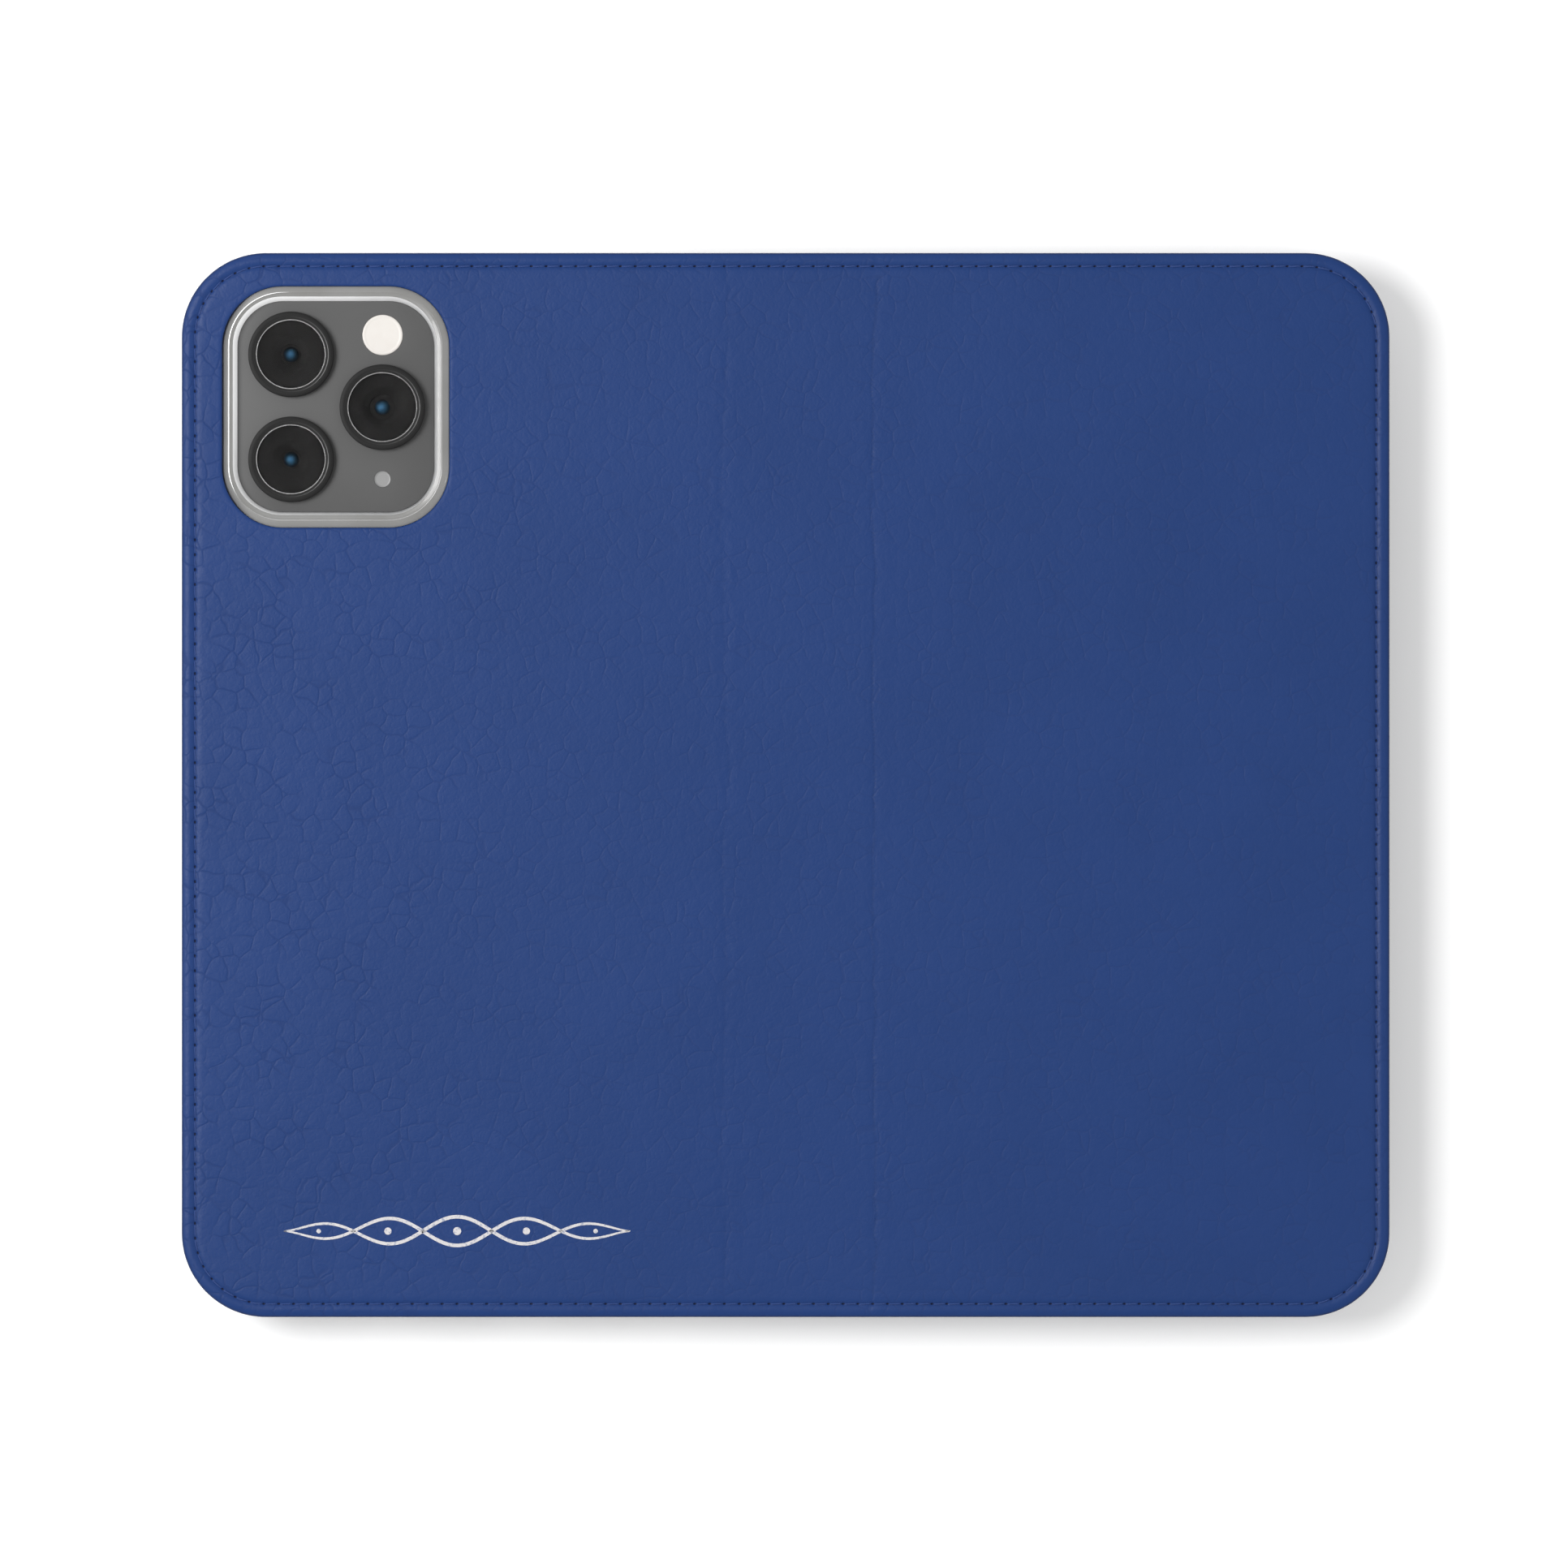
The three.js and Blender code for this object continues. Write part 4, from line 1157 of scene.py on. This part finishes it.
SEAT_DEPTH = 0.55
SEAT_GAP = 0.015
PLATE_GAP = 0.02
PLATE_ROLL = 0.05
SEAT_CHAMFER = 0.03
RING_COUNT = 96
FLASH_RINGS = 14


def disc_of(node):
    """Centre, radius, bottom and top of a round CAD node."""
    low, high = corners(node)
    return (low[0] + high[0]) / 2, (low[1] + high[1]) / 2, (high[0] - low[0]) / 2, low[2], high[2]


def plate_loop(inset):
    return lip_loop(LIP_WIDTH + PLATE_GAP + inset) + lip_shift(LIP_WIDTH)


def make_camera_plate():
    build = Build()
    bottom, top = PLATE_LOW[2], PLATE_HIGH[2]
    section = [(0.0, bottom), (0.0, top - PLATE_ROLL)]
    section += [(a, top - PLATE_ROLL + b) for a, b in quarter(PLATE_ROLL, 4)]
    rows = [build.add(plate_loop(inset), z) for inset, z in section]
    build.stack(rows, len(plate_loop(0)), caps=(0,))
    seats = []
    for node in ("flash_lens", "microphone_grille"):
        x, y, radius, _, _ = disc_of(node)
        wall = circle(x, y, radius + SEAT_GAP, RING_COUNT)
        rim_radius = radius + SEAT_GAP + SEAT_CHAMFER
        rim = circle(x, y, rim_radius, RING_COUNT)
        section = ((rim, top), (wall, top - SEAT_CHAMFER), (wall, top - SEAT_DEPTH - 0.05))
        build.stack([build.add(loop, z) for loop, z in section], RING_COUNT, caps=(-1,))
        seats.append((rim, x, y, rim_radius))

    def clear_of_seats(x, y):
        return np.all([np.hypot(x - sx, y - sy) > r * 0.999 for _, sx, sy, r in seats], axis=0)

    xy, triangles = triangulate([plate_loop(PLATE_ROLL)] + [seat[0] for seat in seats], [], clear_of_seats)
    build.triangles(xy, top, triangles)
    plate = build.piece("camera_plate", PLATE_GLASS, sharp_deg=30)
    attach(plate, "phone")
    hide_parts("camera_plateau")


PUPIL_RADII = (1.58, 1.58, 1.95)
DOME_CURVE = 1.45  # radius of a front element's curve
PAINTED_REFLECTION_SHARE = 0.62  # of the pupil's radius: the part with the painted blue reflection
DOME_SHARE = 0.8  # of the pupil's radius
RING_LINE = 0.05  # between a ring's bright line and its glass
PAINTED_REFLECTION_SHIFT = 0.1  # of the painted reflection's middle, towards -X


def make_lens(number):
    x, y, radius, bottom, top = disc_of(f"lens_ring_{number}")
    _, _, glass_radius, glass_low, glass_high = disc_of(f"lens_glass_{number}")
    _, _, mount_radius, mount_low, mount_high = disc_of(f"lens_element_{number}")
    pupil = PUPIL_RADII[number - 1]
    funnel = pupil + 1.1
    ring = Build()
    section = [
        (radius - 0.12, bottom),
        (radius, bottom + 0.12),
        (radius, top - 0.16),
        (radius - 0.04, top - 0.05),
        (radius - 0.15, top),
        (glass_radius + 0.48, top),
        (glass_radius + 0.4, top - 0.02),
        (glass_radius + RING_LINE, top - 0.02),
        (glass_radius + RING_LINE - 0.01, top - 0.01),
        (glass_radius - 0.1, top - 0.01),
        (glass_radius - 0.1, glass_high + 0.02),
        (glass_radius - 0.03, glass_high + 0.02),
        (glass_radius - 0.03, glass_low - 0.02),
        (glass_radius - 0.5, glass_low - 0.03),
        (funnel + 0.3, mount_high + 0.04),
        (funnel, mount_high + 0.01),
        (funnel - 0.3, mount_high - 0.06),
        (pupil + 0.04, mount_high - 0.3),
        (pupil + 0.02, mount_high - 0.36),
        (mount_radius + 0.12, mount_high - 0.4),
        (mount_radius + 0.12, bottom),
    ]
    slots = [0] * 5 + [3, 0] + [1] * 3 + [2] * 10 + [0]
    lathe(ring, x, y, section, RING_COUNT, slots)
    body = ring.piece(f"lens_barrel_{number}", RING_METAL, RING_POLISHED, BARREL, RING_CHAMFER, sharp_deg=28)
    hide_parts(f"lens_ring_{number}")
    cover = Build()
    inner, rim, low = glass_radius - 0.2, glass_radius - 0.05, glass_low + 0.1
    section = [(0, low), (inner, low), (rim, low), (rim, glass_high), (inner, glass_high), (0, glass_high)]
    lathe(cover, x, y, section, RING_COUNT, closed=False)
    glass = cover.piece(f"lens_cover_{number}", LENS_COVER, sharp_deg=25)
    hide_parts(f"lens_glass_{number}")
    dome = Build()
    crown = mount_high - 0.05
    dome_radius = min(DOME_SHARE * pupil, 0.85 * DOME_CURVE)
    spread = math.asin(dome_radius / DOME_CURVE)
    ball = [(0, crown)]
    for a in np.linspace(0, spread, 12)[1:]:
        ball.append((DOME_CURVE * math.sin(a), crown - DOME_CURVE * (1 - math.cos(a))))
    flange = min(ball[-1][1], mount_high - 0.45)
    section = ball + [(dome_radius, flange), (mount_radius, flange)]
    section += [(mount_radius, mount_low), (0, mount_low)]
    slots = [0] * (len(ball) - 1) + [1] * 4
    lathe(dome, x, y, section, 64, slots, closed=False)
    reach = PAINTED_REFLECTION_SHARE * pupil
    # Where the painted blue reflection lies on the element.
    dome.extra["painted_reflection"] = {
        i: float(step(1 - math.hypot(px - x + PAINTED_REFLECTION_SHIFT, py - y) / reach))
        for i, (px, py, _) in enumerate(dome.points)
    }
    element = dome.piece(f"lens_dome_{number}", LENS_ELEMENT, BARREL, sharp_deg=40)
    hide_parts(f"lens_element_{number}")
    for piece in (body, glass, element):
        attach(piece, "phone")


def make_flash_and_microphone():
    x, y, radius, low, high = disc_of("flash_lens")
    flash = Build()
    section = [(0, low), (radius, low)]
    section += [(radius, high - 0.08), (radius - 0.06, high - 0.01), (radius * 0.9, high)]
    for k, share in enumerate(np.linspace(0.86, 0.12, FLASH_RINGS)):
        section.append((radius * share, high - 0.03 - 0.025 * (k % 2)))
    lathe(flash, x, y, section + [(0, high - 0.04)], 72, closed=False)
    piece = flash.piece("flash_diffuser_disc", FLASH, sharp_deg=50)
    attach(piece, "phone")
    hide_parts("flash_lens")
    x, y, radius, low, high = disc_of("microphone_grille")
    grille = Build()
    section = [(0, low), (radius, low), (radius, high - 0.03), (radius - 0.04, high)]
    section += [(radius - 0.1, high - 0.02)]
    section += [(radius - 0.2, high - 0.05), (radius - 0.3, high - 0.05), (0, high - 0.05)]
    lathe(grille, x, y, section, 48, closed=False)
    piece = grille.piece("microphone_mesh_disc", GRILLE, sharp_deg=40)
    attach(piece, "phone")
    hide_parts("microphone_grille")


# ---- Phone ----

PHONE_EDGE = 2.2
GLASS_INSET = 2.5
SPEAKER_HOLES = 7
SPEAKER_HOLE_STEP = 1.9
SPEAKER_HOLE_RADIUS = 0.6
SPEAKER_HOLE_DEPTH = 1.6
PORT_MOUTH = (8.6, 2.8, 1.35)
PORT_DEPTH = 6.5
GLASS_ROLL = 0.2


def phone_solid(name, material, section, sharp_deg):
    """A solid with the phone's outline, from the insets and heights of its edge."""
    build = Build()
    rows = [build.add(phone_loop(-inset), z) for inset, z in section]
    build.stack(rows, PHONE_POINTS, caps=(0, -1))
    return build.piece(name, material, sharp_deg=sharp_deg)


def make_phone():
    low, high = PHONE_LOW[2], PHONE_HIGH[2]
    seat = GLASS_INSET - 0.1
    section = [(seat, high - 0.65), (seat, high - 0.06), (seat - 0.1, high)]
    section += [(PHONE_EDGE - a, high - b) for b, a in quarter(PHONE_EDGE, 10)]
    section += [(a, low + PHONE_EDGE - b) for a, b in quarter(PHONE_EDGE, 10)]
    section += [(seat - 0.1, low), (seat, low + 0.06), (seat, low + 0.65)]
    body = phone_solid("phone_frame", PHONE_METAL, section, 32)
    middle_z = (low + high) / 2
    cutters = button_cutters(0.15, 0.15, 2.1, low_to_rim=False)
    port = rounded_loop(PHONE_MIDDLE_X, middle_z, *PORT_MOUTH, 8, (2, 1))
    cutters.append(prism(port, 1, PHONE_LOW[1] - 1, PHONE_LOW[1] + PORT_DEPTH))
    for side in (-1, 1):
        for k in range(SPEAKER_HOLES):
            x = PHONE_MIDDLE_X + side * (SPEAKER_OFFSET + (k - SPEAKER_HOLES // 2) * SPEAKER_HOLE_STEP)
            hole = circle(x, middle_z, SPEAKER_HOLE_RADIUS, 20)
            cutters.append(prism(hole, 1, PHONE_LOW[1] - 1, PHONE_LOW[1] + SPEAKER_HOLE_DEPTH))
    carve(body, cutters)
    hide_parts("phone_body")
    back_low, back_high = (corner[2] for corner in corners("phone_back_glass"))
    section = [(GLASS_INSET, back_low)]
    section += [(GLASS_INSET + a, back_high - GLASS_ROLL + b) for a, b in quarter(GLASS_ROLL, 4)]
    back = phone_solid("phone_back_panel", BACK_GLASS, section, 35)
    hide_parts("phone_back_glass")
    screen_low, screen_high = (corner[2] for corner in corners("phone_screen_glass"))
    section = [(GLASS_INSET + GLASS_ROLL - b, screen_low + a) for a, b in quarter(GLASS_ROLL, 4)]
    screen = phone_solid("phone_screen", SCREEN_GLASS, section + [(GLASS_INSET, screen_high)], 35)
    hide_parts("phone_screen_glass")
    for piece in (body, back, screen):
        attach(piece, "phone")


BUTTON_ROLL = 0.28


def make_button(node, name):
    low, high = corners(node)
    outward = -1 if node == "side_button" else 1
    middle = ((low[1] + high[1]) / 2, (low[2] + high[2]) / 2)
    width, height = high[1] - low[1], high[2] - low[2]
    near, far = (high[0], low[0]) if outward < 0 else (low[0], high[0])
    radius = 0.46 * height
    section = [(0.0, near), (0.0, far - outward * BUTTON_ROLL)]
    section += [(a, far - outward * (BUTTON_ROLL - b)) for a, b in quarter(BUTTON_ROLL, 5)]
    build = Build()
    rows = []
    for inset, x in section:
        loop = rounded_loop(*middle, width - 2 * inset, height - 2 * inset, radius - inset, 8, (6, 2))
        rows.append(build.place(np.insert(loop, 0, x, axis=1)))
    build.stack(rows, len(loop), caps=(0, -1))
    piece = build.piece(name, PHONE_METAL, sharp_deg=40)
    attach(piece, node)
    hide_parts(node)


# ---- Pockets on the front cover's inner side ----

POCKET_STITCH_INSET = 1.3
POCKET_STITCH_PITCH = 2.4
POCKET_STITCH_START = 2.2  # from the mouth
POCKET_SWELL = 0.12
POCKET_FACE_INSET = 1.7
# The edge of a panel's face: insets, and how far they lie above the face.
POCKET_EDGE = (
    (0.06, 0.1), (0.2, 0.02), (0.5, 0.0), (0.9, 0.0), (POCKET_STITCH_INSET, 0.0), (POCKET_FACE_INSET, 0.0),
)


def pocket_panel(node, radius, name):
    """A leather panel sewn down on three sides, with its mouth turned over and a little full."""
    low, high = corners(node)
    build = Build()
    middle = ((low[0] + high[0]) / 2, (low[1] + high[1]) / 2)
    width, height = high[0] - low[0], high[1] - low[1]
    mouth, top, bottom = low[0], high[2], low[2]

    def loop(inset):
        size = (width - 2 * inset, height - 2 * inset, max(radius - inset, 0.3))
        return rounded_loop(*middle, *size, 8, (40, 60))

    def lower(xy):
        """The panel's face, which looks down when the case lies open: it swells between its seams."""
        x, y = xy.T
        depth = inside(x, y, *middle, width, height, radius)
        side = step(depth / 9)
        from_mouth = x - mouth
        roll = 0.1 * bell(from_mouth - 0.9, 0.7) - 0.06 * bell(from_mouth - 2.3, 0.35)
        soft = 0.03 * field(x, y, 13, 4.0) * side
        seam = -0.08 * bell(depth - POCKET_STITCH_INSET, 0.35) * step((from_mouth - 2.5) / 1.5)
        return bottom + POCKET_SWELL - (POCKET_SWELL * side + roll + soft + seam)

    section = ((0.5, top), (0.1, top), (0.0, top - 0.12), (0.0, bottom + 0.22))
    rows = [build.add(loop(inset), z) for inset, z in section]
    for inset, lift in POCKET_EDGE:
        xy = loop(inset)
        rows.append(build.add(xy, lower(xy) + lift))
    build.stack(rows, len(xy), caps=(0,))
    xs = np.concatenate([mouth + np.arange(2.0, 5.0, 0.35), np.arange(mouth + 6, high[0] - 2, 2.0)])
    ys = np.arange(low[1] + 2.2, high[1] - 2, 2.0)
    grid = np.array([(x, y) for x in xs for y in ys])
    grid = grid[inside(*grid.T, *middle, width, height, radius) > 2.0]
    xy, triangles = triangulate([loop(POCKET_FACE_INSET)], grid, lambda x, y: np.isfinite(x))
    build.triangles(xy, lower(xy), triangles)
    panel = build.piece(name, POCKET, sharp_deg=50, rest=True)
    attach(panel, "front_cover")
    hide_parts(node)
    return low, high, radius


def pocket_stitches(build, low, high, radius):
    """Stitches along a pocket's two ends and its closed side."""
    start = low[0] + POCKET_STITCH_START
    half = (high[1] - low[1]) / 2
    seam = (POCKET_STITCH_INSET, POCKET_STITCH_PITCH)
    walk = Walk(start, (low[1] + high[1]) / 2, (1, 1), high[0] - start, half, radius, *seam)

    def thread_height(x, y, share):
        return low[2] + 0.26 - 0.22 * (1 - abs(2 * share - 1) ** 5)

    for k in range(walk.stitches):
        sew(build, walk, k, -1, thread_height)


def make_pockets():
    build = Build()
    places = [pocket_panel("cash_pocket", 9.0, "cash_pocket_panel")]
    for k in (1, 2, 3):
        places.append(pocket_panel(f"card_pocket_{k}", 4.0, f"card_pocket_panel_{k}"))
    for low, high, radius in (places[0], places[-1]):
        pocket_stitches(build, low, high, radius)
    stitches = build.piece("pocket_stitching", POCKET_THREAD, rest=True)
    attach(stitches, "front_cover")


# ---- A plain printed ornament low on the back cover ----

ORNAMENT_X = -50.3
ORNAMENT_Y = -68.3
ORNAMENT_LENGTH = 53.0
ORNAMENT_HEIGHT = 4.4
ORNAMENT_LINKS = 5
INK_LIFT = 0.035
INK_DOT_RADIUS = 0.62


def ink_strip(build, line, widths):
    """A flat printed line that lies on the leather."""
    line = np.asarray(line, float)
    along = np.gradient(line, axis=0)
    along /= np.linalg.norm(along, axis=1)[:, None]
    across = np.column_stack([-along[:, 1], along[:, 0]])
    rows = []
    for sign in (-0.5, 0.0, 0.5):
        xy = line + across * (sign * np.asarray(widths))[:, None]
        rows.append(build.add(xy, FACE + relief(*xy.T) + INK_LIFT))
    build.stack(rows, len(line), closed=False)


def ink_dot(build, x, y, radius):
    ring = circle(x, y, radius, 20)
    start = build.add(ring, FACE + relief(*ring.T) + INK_LIFT)
    build.cap(start, len(ring))


def make_ornament():
    """Two crossing waves with a dot in each link, dying away towards both ends."""
    build = Build()
    t = np.linspace(-1, 1, 241)
    swell = np.cos(t * math.pi / 2) ** 0.6
    for sign in (-1, 1):
        y = ORNAMENT_Y + sign * ORNAMENT_HEIGHT / 2 * swell * np.cos(t * math.pi * ORNAMENT_LINKS / 2)
        line = np.column_stack([ORNAMENT_X + t * ORNAMENT_LENGTH / 2, y])
        ink_strip(build, line, 0.2 + 0.35 * swell)
    for k in range(ORNAMENT_LINKS):
        share = (2 * k - ORNAMENT_LINKS + 1) / ORNAMENT_LINKS
        radius = INK_DOT_RADIUS * math.cos(share * math.pi / 2) ** 0.5
        ink_dot(build, ORNAMENT_X + share * ORNAMENT_LENGTH / 2, ORNAMENT_Y, radius)
    ornament = build.piece("printed_ornament", INK, rest=True)
    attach(ornament, "back_cover")


# ---- Pieces that keep their CAD shape ----

def finish_hidden_layers():
    """The boards and the adhesive sheet lie inside the covers."""
    looks = {"back_board": BOARD, "spine_board": BOARD, "front_board": BOARD, "shell_adhesive": ADHESIVE}
    for node, material in looks.items():
        mesh = frame["nodes"][node].data
        mesh.materials.clear()
        mesh.materials.append(material)


# ---- Studio ----

VIEW_WIDTH = 240.1  # what the camera takes in across, at the height of the outer face
CAMERA_HEIGHT = 2000.0
CAMERA_X = -0.25
CAMERA_Y = 0.16
SENSOR = 36.0
FLOOR_REACH = 20.0  # in metres
FLOOR_GAP = 0.05  # below the frame's zero
FLOOR_GLOW = 0.225
FAR_FLOOR_GLOW = 0.55
SKY_HORIZON = 0.96
SKY_ZENITH = 0.39
KEY_PLACE = (-410, 122, 730)
KEY_SIZE = 400
KEY_WATTS = 4.9
FILL_PLACE = (500, -70, 1060)
FILL_SIZE = 140
FILL_WATTS = 0.6


def make_floor():
    mesh = bpy.data.meshes.new("floor")
    signs = ((-1, -1), (1, -1), (1, 1), (-1, 1))
    places = [(x * FLOOR_REACH, y * FLOOR_REACH, -FLOOR_GAP * MM) for x, y in signs]
    mesh.from_pydata(places, [], [(0, 1, 2, 3)])
    look = Look("floor_lit_white", Roughness=0.9, Specular_IOR_Level=0.1, Emission_Color=(1, 1, 1, 1))
    own = look.node("ShaderNodeTexCoord").outputs["Object"]
    away = look.node("ShaderNodeVectorMath", {0: own}, operation="LENGTH").outputs["Value"]
    look.link(look.ramp(away, 0.2, 1.2, FLOOR_GLOW, FAR_FLOOR_GLOW), "Emission Strength")
    look.link(look.mix(look.noise(own, 3.0, 2.0), (0.9, 0.9, 0.9, 1), (0.91, 0.91, 0.91, 1)))
    mesh.materials.append(look.material)
    floor = bpy.data.objects.new("floor", mesh)
    bpy.context.scene.collection.objects.link(floor)


def make_light(name, place, size, watts):
    """A round lamp that looks at the middle of the frame."""
    data = bpy.data.lights.new(name, "AREA")
    data.shape = "DISK"
    data.size = size * MM
    data.energy = watts
    lamp = bpy.data.objects.new(name, data)
    lamp.location = Vector(place) * MM
    lamp.rotation_euler = (-lamp.location).to_track_quat("-Z", "Y").to_euler()
    bpy.context.scene.collection.objects.link(lamp)


def make_studio():
    scene = bpy.context.scene
    world = bpy.data.worlds.new("studio")
    world.use_nodes = True
    tree = world.node_tree
    direction = tree.nodes.new("ShaderNodeTexCoord").outputs["Generated"]
    split = tree.nodes.new("ShaderNodeSeparateXYZ")
    fade = tree.nodes.new("ShaderNodeMapRange")
    fade.inputs["To Min"].default_value = SKY_HORIZON
    fade.inputs["To Max"].default_value = SKY_ZENITH
    tree.links.new(direction, split.inputs[0])
    tree.links.new(split.outputs["Z"], fade.inputs["Value"])
    tree.links.new(fade.outputs[0], tree.nodes["Background"].inputs["Strength"])
    tree.nodes["Background"].inputs["Color"].default_value = (1, 1, 1, 1)
    scene.world = world
    scene.view_settings.view_transform = "Standard"
    scene.view_settings.look = "None"
    scene.view_settings.exposure = 0
    scene.view_settings.gamma = 1
    make_light("key", KEY_PLACE, KEY_SIZE, KEY_WATTS)
    make_light("fill", FILL_PLACE, FILL_SIZE, FILL_WATTS)
    data = bpy.data.cameras.new("camera")
    data.sensor_width = SENSOR
    data.lens = SENSOR * CAMERA_HEIGHT / VIEW_WIDTH
    data.clip_start = 0.01
    data.clip_end = 20
    camera = bpy.data.objects.new("camera", data)
    camera.location = (CAMERA_X * MM, CAMERA_Y * MM, (FACE + CAMERA_HEIGHT) * MM)
    scene.collection.objects.link(camera)
    scene.camera = camera


make_cover()
make_shell()
make_camera_plate()
for lens_number in (1, 2, 3):
    make_lens(lens_number)
make_flash_and_microphone()
make_phone()
for button_node, button_name in BUTTON_PIECES.items():
    make_button(button_node, button_name)
make_pockets()
make_ornament()
finish_hidden_layers()
make_floor()
make_studio()
